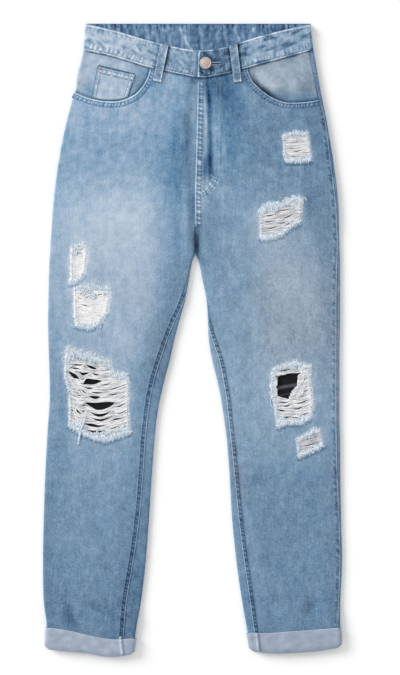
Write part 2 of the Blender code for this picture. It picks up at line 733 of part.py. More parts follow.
# ---- Pockets -------------------------------------------------------------
def facing(leg):
    """The pale denim in the pocket's mouth, which runs on under the front panel."""
    inner_x = FACING_INNER[leg.name]
    faces = []
    for wall in (0.0, LOOP):
        rows = []
        for nominal in (BAND_SIDE, YOKE_SIDE, 90, 97, 110, 124, FACING_END):

            def points_at(drop):
                starts = seam_start(leg, drop, 1)
                width = abs(leg.column("outer", drop) - inner_x)
                end = leg.quarter(drop) - tube_height(drop) / 2 + width
                points = []
                for run in starts + spread((0.08, 0.2, 0.4, 0.6, 0.8, 1), starts[-1], end):
                    level = 1 - smooth(84, 95, nominal)
                    level *= 1 - smooth(10, 22, run - starts[0])
                    sunk = (DENIM + GAP) * (1 - level)
                    points.append(leg.around(drop, run, 1, -sunk - wall))
                return points

            row = []
            for x, z in between_rows(nominal, points_at):
                shift = (band_seam(x, z) - BAND_SIDE) * (1 - smooth(BAND_SIDE, 125, nominal))
                row.append((x, nominal + shift, z))
            rows.append(row)
        faces.append(rows)
    return cloth("pocket_facing_" + leg.name, *faces, DENIM_PALE)


def bag(leg):
    """The plain bag behind the facing."""
    rows = []
    for nominal in (96, 130, 165, 200, 222, BAG_END):
        narrow = 16 * smooth(190, BAG_END, nominal)
        outer = leg.column("outer", nominal) - leg.sign * (14 + narrow)
        near = FACING_INNER[leg.name] + leg.sign * narrow
        row = []
        for x in spread(even(5), outer, near):
            under = DENIM + GAP + LOOP + GAP
            row.append((x, nominal, leg.front(x, nominal) - fold_height(x, nominal) - under))
        rows.append(row)
    return sheet("pocket_bag_" + leg.name, rows, THIN, COTTON)


def coin_pocket():
    """The small pocket on the right facing, down to the mouth's edge."""
    a, b = COIN_CORNERS["top_left"], COIN_CORNERS["top_right"]
    d, c = COIN_CORNERS["bottom_left"], COIN_CORNERS["bottom_right"]
    rows = []
    for down in even(4):
        row = []
        for across in even(5):
            top = [a[i] + (b[i] - a[i]) * across for i in (0, 1)]
            low = [d[i] + (c[i] - d[i]) * across for i in (0, 1)]
            low[1] += 4.0 * (1 - (2 * across - 1) ** 2)
            x, drop = (top[i] + (low[i] - top[i]) * down for i in (0, 1))
            row.append((x, drop, SEAT_LIFT + FLAT_HEIGHT - DENIM + LOOP))
        rows.append(row)
    return sheet("coin_pocket", rows, LOOP, DENIM_PALE)


def back_pocket(leg):
    """A five sided patch pocket on the seat, face down on the table."""
    middle, top = BACK_POCKETS[leg.name]
    shape = bmesh.new()
    corners = [shape.verts.new(world(middle + x, top + drop, 0)) for x, drop in BACK_POCKET]
    base = shape.faces.new(corners)
    grown = bmesh.ops.extrude_face_region(shape, geom=[base])["geom"]
    tops = [part for part in grown if isinstance(part, bmesh.types.BMVert)]
    bmesh.ops.translate(shape, verts=tops, vec=(0, 0, LOOP * MM))
    bmesh.ops.recalc_face_normals(shape, faces=shape.faces)
    name = "back_pocket_" + leg.name
    mesh = bpy.data.meshes.new(name)
    shape.to_mesh(mesh)
    shape.free()
    return link(name, mesh, DENIM_BLUE)


# ---- Fly -----------------------------------------------------------------
FLY_STACK = SEAT_LIFT + DENIM + 0.4     # underside of the shield


def fly_shield():
    """The shield behind the zip, flat on the inside of the back."""
    rows = []
    for drop, left, right in ((86, -12, 36), (180, -14, 34), (232, -14, 28), (252, -10, 14)):
        rows.append([(x, drop, FLY_STACK + THIN) for x in spread(even(4), left, right)])
    return sheet("fly_shield", rows, THIN, DENIM_BLUE)


def zip_strip():
    """The closed zip: two tapes with the row of teeth standing up between them."""
    under = FLY_STACK + THIN + GAP
    rows = []
    for drop in (88, 130, 180, 236):
        lap = lap_edge(drop)
        teeth = ((-9, 0), (7.2, 0), (8.0, 0.3), (13.0, 0.3), (13.8, 0), (26, 0))
        rows.append([(lap + x, drop, under + THIN + z) for x, z in teeth])
    return sheet("zip", rows, THIN, COTTON)


# ---- Turn-ups ------------------------------------------------------------
def cuff_profile(wall):
    """The turn-up in section: (share from top to fold, drop below the fold, grow)."""
    outside = GAP + DENIM - wall
    inside = -(2 * DENIM + GAP) + wall
    bend = (outside - inside) / 2
    profile = [(0.0, 0.0, outside), (1.0, 0.0, outside)]
    for degrees in (45, 90, 135):
        turn = math.radians(degrees)
        profile.append((1.0, bend * math.sin(turn), (outside + inside) / 2 + bend * math.cos(turn)))
    return profile + [(1.0, 0.0, inside), (1.0, -CUFF_INSIDE, inside)]


def cuff_points(leg, drop, grow):
    """Points (x, z) round a whole leg, from the outer fold over the front and back."""
    total, quarter = leg.length(drop), leg.quarter(drop)
    half = [0, quarter / 2, quarter]
    half += spread((0.25, 0.5, 0.65, 0.8), quarter, total - quarter)
    half += [total - quarter, total - quarter / 2, total]
    over = [leg.around(drop, run, 1, grow) for run in half[:-1]]
    return over + [leg.around(drop, run, -1, grow) for run in half[:0:-1]]


def cuff(leg):
    """The turn-up: outside the leg, round its end and a little way up inside."""
    faces = []
    for wall in (0.0, DENIM):
        rows = []
        for share, below, grow in cuff_profile(wall):
            row = []
            nominal = HEM if share else CUFF_TOP
            for x, z in between_rows(nominal, lambda drop: cuff_points(leg, drop, grow)):
                fold = leg.cuff_edge("fold", x) - CUFF_BEND
                top = leg.cuff_edge("top", x)
                row.append((x, (fold + below) if share else top, z))
            rows.append(row)
        faces.append(rows)
    return cloth("cuff_" + leg.name, *faces, DENIM_REVERSE, ring=True)


# ---- Rips ----------------------------------------------------------------
def thread_sag(leg, rip, x, drop):
    """How far the threads of a rip hang below the face of the front."""
    outline = RIPS[rip]
    left, right = min(p[0] for p in outline), max(p[0] for p in outline)
    high, low = min(p[1] for p in outline), max(p[1] for p in outline)
    across = max(0.0, 1 - (2 * (x - left) / (right - left) - 1) ** 2)
    down = max(0.0, 1 - (2 * (drop - high) / (low - high) - 1) ** 2)
    ripple = 0.25 * math.sin((drop - high + 10 * across) * math.tau / 13.0)
    return 0.25 + (0.75 * across + ripple * across) * min(1.0, 2 * down)


def thread_mat(leg, rip):
    """The white threads left in a rip, as one sagging mat with its real openings."""
    outline = list(RIPS[rip])
    left, right = min(p[0] for p in outline) - 1, max(p[0] for p in outline) + 1
    high, low = min(p[1] for p in outline) - 1, max(p[1] for p in outline) + 1
    rows = []
    for drop in spread(even(max(3, round((low - high) / 11))), high, low):
        row = []
        for x in spread(even(4), left, right):
            row.append((x, drop, leg.front(x, drop) - thread_sag(leg, rip, x, drop)))
        rows.append(row)
    made = sheet("threads_" + rip, rows, THIN, THREAD_WHITE)
    cut(made, prism("kept_" + rip, inset(outline, GAP)), "INTERSECT")
    for i, slit in enumerate(SLITS.get(rip, ())):
        cut(made, prism("slit_%s_%d" % (rip, i), smile(*slit)))
    if rip == "knee_left":
        cut(made, prism("knee_hole", KNEE_HOLE))
    return made


def knee_backing(leg):
    """The dark cloth that shows through the openings of a knee rip."""
    outline = RIPS["knee_" + leg.name]
    left, right = min(p[0] for p in outline) - 5, max(p[0] for p in outline) + 5
    high, low = min(p[1] for p in outline) - 6, max(p[1] for p in outline) + 6
    rows = []
    for drop in spread(even(3), high, low):
        plain = floor_height(drop) + tube_height(drop)
        rows.append([(x, drop, plain - DENIM - THIN - 0.55) for x in spread(even(3), left, right)])
    return sheet("knee_backing_" + leg.name, rows, THIN, DARK_CLOTH)


# ---- The garment ---------------------------------------------------------
def main():
    """Build every piece of the jeans."""
    for old in list(bpy.data.objects):
        bpy.data.objects.remove(old)
    for leg in LEGS:
        front_panel(leg)
        back_panel(leg)
        yoke(leg)
        facing(leg)
        bag(leg)
        front_loop(leg)
        back_pocket(leg)
        cuff(leg)
        knee_backing(leg)
    waistband()
    button()
    fly_shield()
    zip_strip()
    coin_pocket()
    for name, x in BACK_LOOPS.items():
        back_loop(name, x)
    for rip in RIPS:
        thread_mat(RIGHT if rip.endswith("right") else LEFT, rip)


main()
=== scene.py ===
"""The ripped jeans as they are seen: worn denim, seams, threads, light and camera.

Every piece of cloth is laid again on the form of its solid as a fine weave, with its
creases, seams and wear, and with painted light and shade. Sizes are in millimetres. A
place on the garment is given by x, across, and by its drop, the distance down from the
upper edge of the back waistband. Right and left are the wearer's: the right leg lies at -X.
"""

import logging
import math
import random
from dataclasses import dataclass
from enum import Enum
from functools import lru_cache, partial
from typing import Callable, Dict, Iterable, List, NamedTuple, Sequence, Tuple

import bmesh
import bpy
from mathutils import Euler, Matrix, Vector, noise

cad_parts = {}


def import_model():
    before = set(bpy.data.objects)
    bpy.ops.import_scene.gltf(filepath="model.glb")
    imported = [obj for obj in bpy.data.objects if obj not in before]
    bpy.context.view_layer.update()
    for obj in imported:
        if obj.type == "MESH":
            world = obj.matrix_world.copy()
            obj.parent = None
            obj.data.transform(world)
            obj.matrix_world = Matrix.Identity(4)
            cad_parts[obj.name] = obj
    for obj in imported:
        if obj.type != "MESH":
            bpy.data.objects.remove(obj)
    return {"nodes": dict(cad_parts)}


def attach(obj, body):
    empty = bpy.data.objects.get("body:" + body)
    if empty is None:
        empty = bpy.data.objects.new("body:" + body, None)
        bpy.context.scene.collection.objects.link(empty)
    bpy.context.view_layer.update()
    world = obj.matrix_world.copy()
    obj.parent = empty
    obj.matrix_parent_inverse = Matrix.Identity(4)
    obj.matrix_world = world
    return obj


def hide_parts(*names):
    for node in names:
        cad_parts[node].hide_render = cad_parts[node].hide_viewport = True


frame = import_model()
LOG = logging.getLogger("jeans")

Point = Tuple[float, float]
Outline = Sequence[Point]
Line = List[Tuple[float, float, float]]
Surface = Callable[[float, float], float]
Colour = Tuple[float, float, float]
Stops = Sequence[Tuple[float, Colour]]
Piece = bpy.types.Object
Socket = bpy.types.NodeSocket
Values = Dict[object, object]

# ---- Sizes of the garment ----
MM = 0.001
HALF_LENGTH = 473.9
GAP = 0.3
DENIM = 1.3
BAND = 2.6
LOOP = 1.2
FLAT_HEIGHT = 6.2
HEM_HEIGHT = 7.6
SEAT_LIFT = 1.5
CUFF_LIFT = 1.6
FLY_LIFT = 1.0
LAP_LIFT = 1.6
CENTRE = 4.5
CROTCH = 344.0
BAND_SIDE = 41.0
YOKE_SIDE = 76.0
YOKE_CENTRE = 106.0
HEM = 938.0
CUFF_TOP = 910.0
CUFF_BEND = DENIM * 1.5 + GAP
LEG_END = 2.0
CROTCH_DIP = 1.8
CROTCH_RISE = 1.2
BAND_TOP = SEAT_LIFT + FLAT_HEIGHT + 0.6
BAND_MIDDLE = (BAND_TOP + SEAT_LIFT) / 2
BAND_FOLD = (BAND_TOP - SEAT_LIFT) / 2
BAND_LAP = 7.6
BAND_UNDERLAP = 42.0
WRAP = 3.0
BUTTON_X, BUTTON_DROP = 19.5, 60.0

# Where the edges and seams of the flattened legs lie, down the garment.
LEG_COLUMNS = ("drop", "right_outer", "right_inner", "right_inseam",
               "left_inner", "left_inseam", "left_outseam", "left_outer")
LEG_ROWS = (
    (0, -160.5, 4.4, 4.4, 4.6, 4.6, 169.0, 176.0),
    (41, -163.5, 4.4, 4.4, 4.6, 4.6, 174.0, 181.5),
    (76, -172.5, 4.4, 4.4, 4.6, 4.6, 181.0, 187.5),
    (99, -176.0, 4.4, 4.4, 4.6, 4.6, 186.0, 191.5),
    (144, -188.0, 4.4, 4.4, 4.6, 4.6, 195.0, 200.5),
    (204, -200.0, 4.4, 4.4, 4.6, 4.6, 203.0, 210.5),
    (264, -208.0, 4.4, 4.4, 4.6, 4.6, 210.5, 218.0),
    (324, -212.5, 4.4, 4.4, 4.6, 4.6, 214.0, 220.0),
    (344, -213.5, 4.2, 4.2, 4.8, 4.8, 214.0, 220.5),
    (356, -214.5, -0.5, -0.5, 9.5, 9.5, 213.5, 221.0),
    (384, -215.5, -5.5, -8.0, 15.0, 15.0, 212.5, 221.0),
    (414, -216.0, -11.0, -17.0, 21.0, 21.5, 212.0, 221.0),
    (444, -216.5, -19.5, -31.0, 23.0, 27.0, 212.0, 221.0),
    (474, -216.0, -27.5, -43.0, 24.5, 36.0, 212.0, 220.5),
    (504, -215.0, -34.0, -53.0, 29.5, 46.0, 212.0, 220.0),
    (534, -214.0, -42.0, -62.0, 37.0, 52.0, 212.0, 220.0),
    (564, -214.0, -49.0, -68.0, 43.0, 57.0, 212.0, 220.0),
    (594, -216.0, -54.0, -72.0, 47.5, 60.0, 212.0, 220.0),
    (624, -218.0, -57.0, -75.0, 51.5, 63.5, 212.5, 221.0),
    (684, -221.0, -61.5, -79.0, 56.0, 69.5, 214.0, 221.5),
    (744, -223.0, -65.5, -84.5, 59.5, 75.5, 216.5, 222.5),
    (804, -224.0, -70.0, -93.0, 65.5, 83.0, 218.0, 224.0),
    (864, -223.0, -77.0, -103.0, 74.0, 92.0, 216.0, 221.5),
    (903, -218.5, -84.0, -106.5, 80.5, 97.0, 214.5, 221.0),
    (925, -219.5, -87.0, -108.5, 84.5, 100.0, 215.5, 222.2),
    (948, -220.0, -88.5, -110.0, 87.0, 102.0, 215.5, 221.5),
)
BAND_COLUMNS = ("x", "top", "seam")
BAND_ROWS = (
    (-163, 1.0, 41.0), (-121, 10.0, 50.0), (-70, 24.5, 65.5), (-38, 32.5, 73.0),
    (-10, 38.5, 79.0), (14, 40.5, 82.5), (36, 38.5, 79.5), (60, 32.5, 74.0),
    (95, 21.0, 64.0), (140, 9.5, 52.0), (180, 1.5, 41.0),
)
LAP_COLUMNS = ("drop", "x", "under")
LAP_ROWS = ((0, 7.6, 6.0), (84, 7.6, 6.0), (226, 4.4, 6.0), (258, 3.4, 5.0), (290, 3.8, 3.0),
            (318, 4.4, -0.3), (344, 4.6, -0.3))
CUFF_COLUMNS = ("share", "right_top", "right_fold", "left_top", "left_fold")
CUFF_ROWS = (
    (0.00, 903.0, 937.0, 903.5, 934.5),
    (0.25, 908.0, 940.0, 906.5, 939.5),
    (0.50, 915.5, 943.0, 909.0, 942.0),
    (0.65, 919.5, 946.8, 910.5, 943.0),
    (0.80, 921.5, 947.8, 912.0, 942.5),
    (1.00, 919.5, 944.5, 911.5, 940.0),
)
RIPS: Dict[str, Outline] = {
    "thigh_upper_right": ((-180, 334), (-162, 330), (-158, 343), (-160, 361), (-163, 376),
                          (-172, 387), (-182, 389), (-182, 362)),
    "thigh_right": ((-177, 397), (-167, 392), (-126, 396), (-124, 407), (-128, 432),
                    (-139, 449), (-152, 457), (-173, 453), (-176, 435)),
    "knee_right": ((-188, 485), (-169, 490), (-168, 498), (-154, 494), (-140, 501), (-124, 505),
                   (-121, 523), (-100, 526), (-95, 538), (-97, 576), (-96, 598), (-94, 612),
                   (-112, 619), (-131, 625), (-146, 621), (-168, 613), (-184, 602), (-183, 585),
                   (-184, 552), (-190, 530), (-191, 508)),
    "hip_left": ((136, 168), (153, 163), (171, 163), (175, 182), (177, 205), (163, 207),
                 (141, 207), (137, 196)),
    "thigh_left": ((101, 279), (111, 271), (124, 269), (134, 271), (150, 261), (164, 262),
                   (163, 278), (160, 299), (146, 306), (134, 316), (117, 322), (103, 322)),
    "knee_left": ((121, 517), (155, 506), (163, 511), (177, 512), (175, 535), (179, 556),
                  (179, 575), (176, 591), (163, 598), (143, 598), (129, 604), (125, 586),
                  (124, 572), (118, 553), (118, 538)),
    "shin_left": ((157, 622), (170, 616), (181, 608), (190, 609), (195, 632), (176, 642),
                  (160, 649)),
}
POCKET_MOUTHS: Dict[str, Outline] = {
    "right": ((-64, 30), (-64, 72), (-68, 83), (-75, 95), (-85, 106), (-98, 113), (-112, 117),
              (-132, 117), (-152, 113), (-166, 108), (-176.5, 103), (-190, 98), (-190, 30)),
    "left": ((83, 30), (83, 72), (90, 87), (103, 100), (117, 110), (130, 116), (143, 119),
             (164, 118.5), (178, 117), (196, 113), (205, 108), (205, 30)),
}
FACING_INNER = {"right": -57.0, "left": 76.0}
FRONT_LOOPS = {"right": (-42, 32.5, -53.2, 88), "left": (61, 33, 67.6, 89)}
BACK_LOOPS = {"side_right": -108, "centre_back": 5, "side_left": 124}
BACK_POCKETS = {"right": (-84, 122), "left": (96, 122)}
LOOP_WIDTH = 13.0


class Side(Enum):
    """The wearer's sides, with the direction in which each lies."""

    RIGHT = -1
    LEFT = 1


class Bump(NamedTuple):
    """A soft fold, fade, painted shade or highlight, or tint: its place, half sizes, turn in
    degrees and what it adds.
    """

    x: float
    drop: float
    half_length: float
    half_width: float
    turn: float
    gain: float


def bump_rows(*rows: Sequence[float]) -> Tuple[Bump, ...]:
    """Name the values of rows of bumps."""
    return tuple(Bump(*row) for row in rows)


# The largest folds, which the solids have too, then the finer ones of the cloth.
FOLDS = bump_rows(
    (30, 205, 34, 8, 80, -0.7), (52, 170, 60, 12, 78, 0.8), (-120, 232, 62, 13, 4, -0.6),
    (-95, 266, 70, 14, -3, 0.7), (176, 264, 30, 9, 84, -0.9), (92, 330, 60, 14, 48, 0.7),
    (-60, 470, 70, 13, 62, 0.7), (150, 668, 46, 13, 28, 0.7), (-181, 880, 22, 9, 70, -1.1),
    (-150, 872, 28, 12, 98, 0.8), (178, 874, 28, 10, 98, -1.0),
)
CREASES = bump_rows(
    (5.5, 334, 20, 4.5, 90, -1.5), (-5, 166, 50, 4.5, 90, -1.3), (26, 150, 70, 3.0, 86, -1.1),
    (20, 145, 60, 4.0, 88, 0.6), (45, 262, 46, 3.5, 90, 0.5), (176, 266, 26, 7, 86, -1.4),
    (-125, 222, 46, 6, 8, -0.6), (-110, 238, 50, 7, 2, 0.5), (-118, 250, 38, 6, -6, -0.5),
    (-183, 888, 16, 7, 68, -1.6), (-172, 866, 22, 9, 60, 0.9), (-128, 872, 24, 6, 30, -1.1),
    (-98, 880, 20, 6, -30, 0.7), (178, 884, 20, 8, 96, -1.6), (160, 878, 20, 8, 80, 0.8),
    (200, 872, 22, 7, 70, 0.7), (118, 892, 14, 5, 80, -0.8), (104, 470, 70, 10, 70, 0.7),
    (70, 420, 60, 9, 64, -0.6), (-95, 700, 90, 9, 84, -0.6), (-190, 640, 90, 9, 92, 0.6),
    (150, 760, 90, 10, 96, -0.5), (-150, 770, 80, 12, 80, 0.5), (-40, 420, 60, 8, 60, -0.8),
    (30, 400, 50, 7, 110, 0.7),
)


# ---- Reading the tables ----
def smooth(low: float, high: float, value: float) -> float:
    """Give a soft step from 0 to 1."""
    share = min(1.0, max(0.0, (value - low) / (high - low)))
    return share * share * (3.0 - 2.0 * share)


def read(rows: Sequence[Sequence[float]], columns: Sequence[str], name: str,
         place: float) -> float:
    """Read a table's column on a smooth curve.

    Args:
        rows: the table's rows, growing in their first column.
        columns: the columns' names.
        name: the column that is read.
        place: a value of the first column.

    Returns:
        The value of the named column there.
    """
    key = columns.index(name)
    last = len(rows) - 1
    if place <= rows[0][0]:
        return rows[0][key]
    if place >= rows[last][0]:
        return rows[last][key]
    after = next(i for i, row in enumerate(rows) if row[0] > place)
    a, b = rows[after - 1], rows[after]
    before = rows[max(after - 2, 0)]
    beyond = rows[min(after + 1, last)]
    slope_a = (b[key] - before[key]) / (b[0] - before[0])
    slope_b = (beyond[key] - a[key]) / (beyond[0] - a[0])
    span = b[0] - a[0]
    t = (place - a[0]) / span
    return (a[key] * (1 + 2 * t) * (1 - t) ** 2 + b[key] * t * t * (3 - 2 * t)
            + span * t * (1 - t) * (slope_a * (1 - t) - slope_b * t))


def mix(a: float, b: float, share: float) -> float:
    """Blend two numbers."""
    return a + (b - a) * share


def turned(x: float, drop: float, turn: float) -> Point:
    """Give how far a place lies along and beside a direction, in degrees down from the right."""
    cos, sin = math.cos(math.radians(turn)), math.sin(math.radians(turn))
    return x * cos + drop * sin, drop * cos - x * sin


def bell(off: float, half_width: float) -> float:
    """Give a soft bump's height, 1 at its middle, at a distance from it."""
    return math.exp(-(off / half_width) ** 2)


def bumps(places: Iterable[Bump], x: float, drop: float) -> float:
    """Add up soft bumps at a place.

    Args:
        places: the bumps.
        x, drop: the place.

    Returns:
        The sum of their heights there.
    """
    total = 0.0
    for at_x, at_drop, half_length, half_width, turn, height in places:
        across, down = x - at_x, drop - at_drop
        reach = 2.6 * max(half_length, half_width)
        if abs(across) > reach or abs(down) > reach:
            continue
        along, aside = turned(across, down, turn)
        total += height * math.exp(-(along / half_length) ** 2 - (aside / half_width) ** 2)
    return total


def world(x: float, drop: float, z: float) -> Vector:
    """Turn a place on the garment into metres."""
    return Vector((x * MM, (HALF_LENGTH - drop) * MM, z * MM))


def wander(x: float, drop: float, size: float, seed: float = 0.0) -> float:
    """Give an even, unforced waver of the cloth."""
    return noise.noise(Vector((x / size, drop / size, seed)))


def streaks(x: float, drop: float, length: float, width: float, turn: float,
            seed: float) -> float:
    """Give a waver that is longer in one direction, of a length, a width and a turn."""
    along, aside = turned(x, drop, turn)
    return noise.noise(Vector((along / length, aside / width, seed)))


# ---- The flattened tube ----
def band_edge(name: str, x: float) -> float:
    """Read the front waistband's upper edge or seam."""
    return read(BAND_ROWS, BAND_COLUMNS, name, x)


def lap_edge(drop: float) -> float:
    """Read the edge of the left front, where it laps over the right one."""
    return read(LAP_ROWS, LAP_COLUMNS, "x", drop)


def yoke_seam(x: float) -> float:
    """Place the back yoke's lower seam."""
    return YOKE_SIDE + (YOKE_CENTRE - YOKE_SIDE) * max(0.0, 1 - abs(x - CENTRE) / 175.0)


def floor_height(drop: float) -> float:
    """Give the height of the back's underside."""
    seat = SEAT_LIFT * (1 - smooth(285, 330, drop))
    return seat + CUFF_LIFT * smooth(872, 894, drop)


def tube_height(drop: float) -> float:
    """Give the outside height of the flattened tube."""
    return FLAT_HEIGHT + (HEM_HEIGHT - FLAT_HEIGHT) * smooth(866, 894, drop)


def fly_rise(x: float, drop: float) -> float:
    """Give the rise of the front over the zip and its shield."""
    across = smooth(-34, -14, x) * (1 - smooth(34, 56, x))
    return FLY_LIFT * across * (1 - smooth(258, 300, drop))


def lap_rise(x: float) -> float:
    """Give the rise of the band's front over its own lower end."""
    return LAP_LIFT * smooth(-22, -4, x) * (1 - smooth(43, 53, x))


class Section:
    """One cut across a leg at a drop: where its edges lie and how it turns round them."""

    def __init__(self, leg: "Leg", drop: float) -> None:
        """Read the leg's tables once for this cut.

        Args:
            leg: the side that is cut.
            drop: the place of the cut.
        """
        self.leg = leg
        self.drop = drop
        self.sign = leg.sign
        self.outer = leg.column("outer", drop)
        self.inner = leg.column("inner", drop)
        self.inseam = leg.column("inseam", drop)
        self.radius = tube_height(drop) / 2
        self.quarter = math.pi / 2 * self.radius
        self.middle = floor_height(drop) + self.radius
        self.width = abs(self.outer - self.inner)
        self.below = drop >= CROTCH
        folds = 2 if self.below else 1
        self.length = folds * self.quarter + self.width - folds * self.radius

    def outseam_run(self) -> float:
        """Give the run from half-way up the outer fold to the outseam, negative underneath."""
        off = WRAP if self.leg.right else self.outer - self.leg.column("outseam", self.drop)
        return -(self.quarter + off) if self.leg.right else self.quarter + off - self.radius

    def inseam_run(self) -> float:
        """Give the run from half-way up the inner fold to the inseam.

        Returns:
            The run over the front.
        """
        inside = abs(self.inseam - self.inner)
        if inside < self.radius:
            return math.acos(1 - inside / self.radius) * self.radius
        return self.quarter + inside - self.radius

    def around(self, run: float, over: int, grow: float = 0.0) -> Point:
        """Go round the leg from half-way up its outer fold.

        Args:
            run: how far to go; past the inner fold it comes back on the other side.
            over: 1 to go over the front and -1 to go under the back.
            grow: how far outside the cloth's outer face.

        Returns:
            The point's x and height, without the folds.
        """
        if run < 0:
            return self.around(-run, -over, grow)
        if self.below and run > self.length:
            return self.around(2 * self.length - run, -over, grow)
        reach = self.radius + grow
        if run < self.quarter:
            turn = run / self.radius
            x = self.outer - self.sign * (self.radius - reach * math.cos(turn))
            return x, self.middle + over * reach * math.sin(turn)
        if self.below and run > self.length - self.quarter:
            turn = (self.length - run) / self.radius
            x = self.inner + self.sign * (self.radius - reach * math.cos(turn))
            return x, self.middle + over * reach * math.sin(turn)
        x = self.outer - self.sign * (self.radius + run - self.quarter)
        return x, self.middle + over * reach


class Leg:
    """One side of the garment: half of the hips above the crotch, a leg below it."""

    def __init__(self, side: Side) -> None:
        """Name the side.

        Args:
            side: the wearer's right or left.
        """
        self.name = side.name.lower()
        self.sign = side.value
        self.right = side is Side.RIGHT
        self._cuts: Dict[float, Section] = {}

    def column(self, name: str, drop: float) -> float:
        """Read the leg table."""
        return read(LEG_ROWS, LEG_COLUMNS, self.name + "_" + name, drop)

    def cut(self, drop: float) -> Section:
        """Cut the leg at a drop.

        Args:
            drop: the place down.

        Returns:
            The section, kept for the next point of its row.
        """
        key = round(drop, 3)
        if key not in self._cuts:
            self._cuts[key] = Section(self, key)
        return self._cuts[key]

    def near(self, drop: float) -> Section:
        """Cut the leg at the nearest half millimetre."""
        return self.cut(round(drop * 2) / 2)

    def relief(self, x: float, drop: float) -> float:
        """Give the rise of the front above the plain tube.

        Args:
            x, drop: the place.

        Returns:
            The rise, none near the folded edges.
        """
        cut = self.near(drop)
        from_outer = abs(cut.outer - x) - cut.radius
        from_inner = abs(cut.inner - x) - cut.radius
        folds = bumps(FOLDS, x, drop) + bumps(CREASES, x, drop)
        folds += 0.28 * wander(x, drop, 34, 1) + 0.16 * wander(x, drop, 13, 2)
        edge = smooth(-1, 12, from_outer)
        puff = 0.9 * (smooth(0, 34, from_outer) - 1)
        if not cut.below:
            dip = smooth(278, CROTCH, drop) * math.exp(-abs(cut.inner - x) / 8.0)
            return (folds + fly_rise(x, drop)) * edge + puff - CROTCH_DIP * dip
        puff += 0.9 * (smooth(0, 30, from_inner) - 1) * smooth(CROTCH, 420, drop)
        return folds * edge * smooth(-1, 10, from_inner) * (1 - smooth(880, 896, drop)) + puff

    def front(self, x: float, drop: float) -> float:
        """Give the height of the front's outer face."""
        return floor_height(drop) + tube_height(drop) + self.relief(x, drop)

    def hold(self, x: float, drop: float) -> float:
        """Keep a place on the leg's front.

        Args:
            x: the place across, which may lie beyond a folded edge.
            drop: the place down.

        Returns:
            The nearest x that is on it.
        """
        cut = self.near(drop)
        low, high = sorted((cut.outer, cut.inner if cut.below else -cut.sign * 60))
        return min(high - 0.3, max(low + 0.3, x))

    def rolled(self, x: float, drop: float) -> float:
        """Give the height of the front where it also turns down round the folded edges.

        Args:
            x, drop: the place.

        Returns:
            The height.
        """
        cut = self.near(drop)
        down = 0.0
        for edge in (cut.outer, cut.inner) if cut.below else (cut.outer,):
            past = cut.radius - abs(edge - x)
            if past > 0:
                down += cut.radius - math.sqrt(max(0.0, cut.radius ** 2 - past ** 2))
        return self.front(x, drop) - down

    def cuff_edge(self, edge: str, x: float) -> float:
        """Read the turn-up's top or fold.

        Args:
            edge: "top" or "fold".
            x: the place across.

        Returns:
            Its drop there.
        """
        cut = self.cut(HEM)
        share = min(1.0, max(0.0, (cut.outer - x) / (cut.outer - cut.inner)))
        return read(CUFF_ROWS, CUFF_COLUMNS, self.name + "_" + edge, share)

    def hem_shift(self, x: float, drop: float) -> float:
        """Give how much lower the leg lies near its slanted end."""
        lift = self.cuff_edge("fold", x) - CUFF_BEND - HEM
        return (lift - LEG_END) * smooth(840, HEM, drop)


RIGHT = Leg(Side.RIGHT)
LEFT = Leg(Side.LEFT)
LEGS = (RIGHT, LEFT)
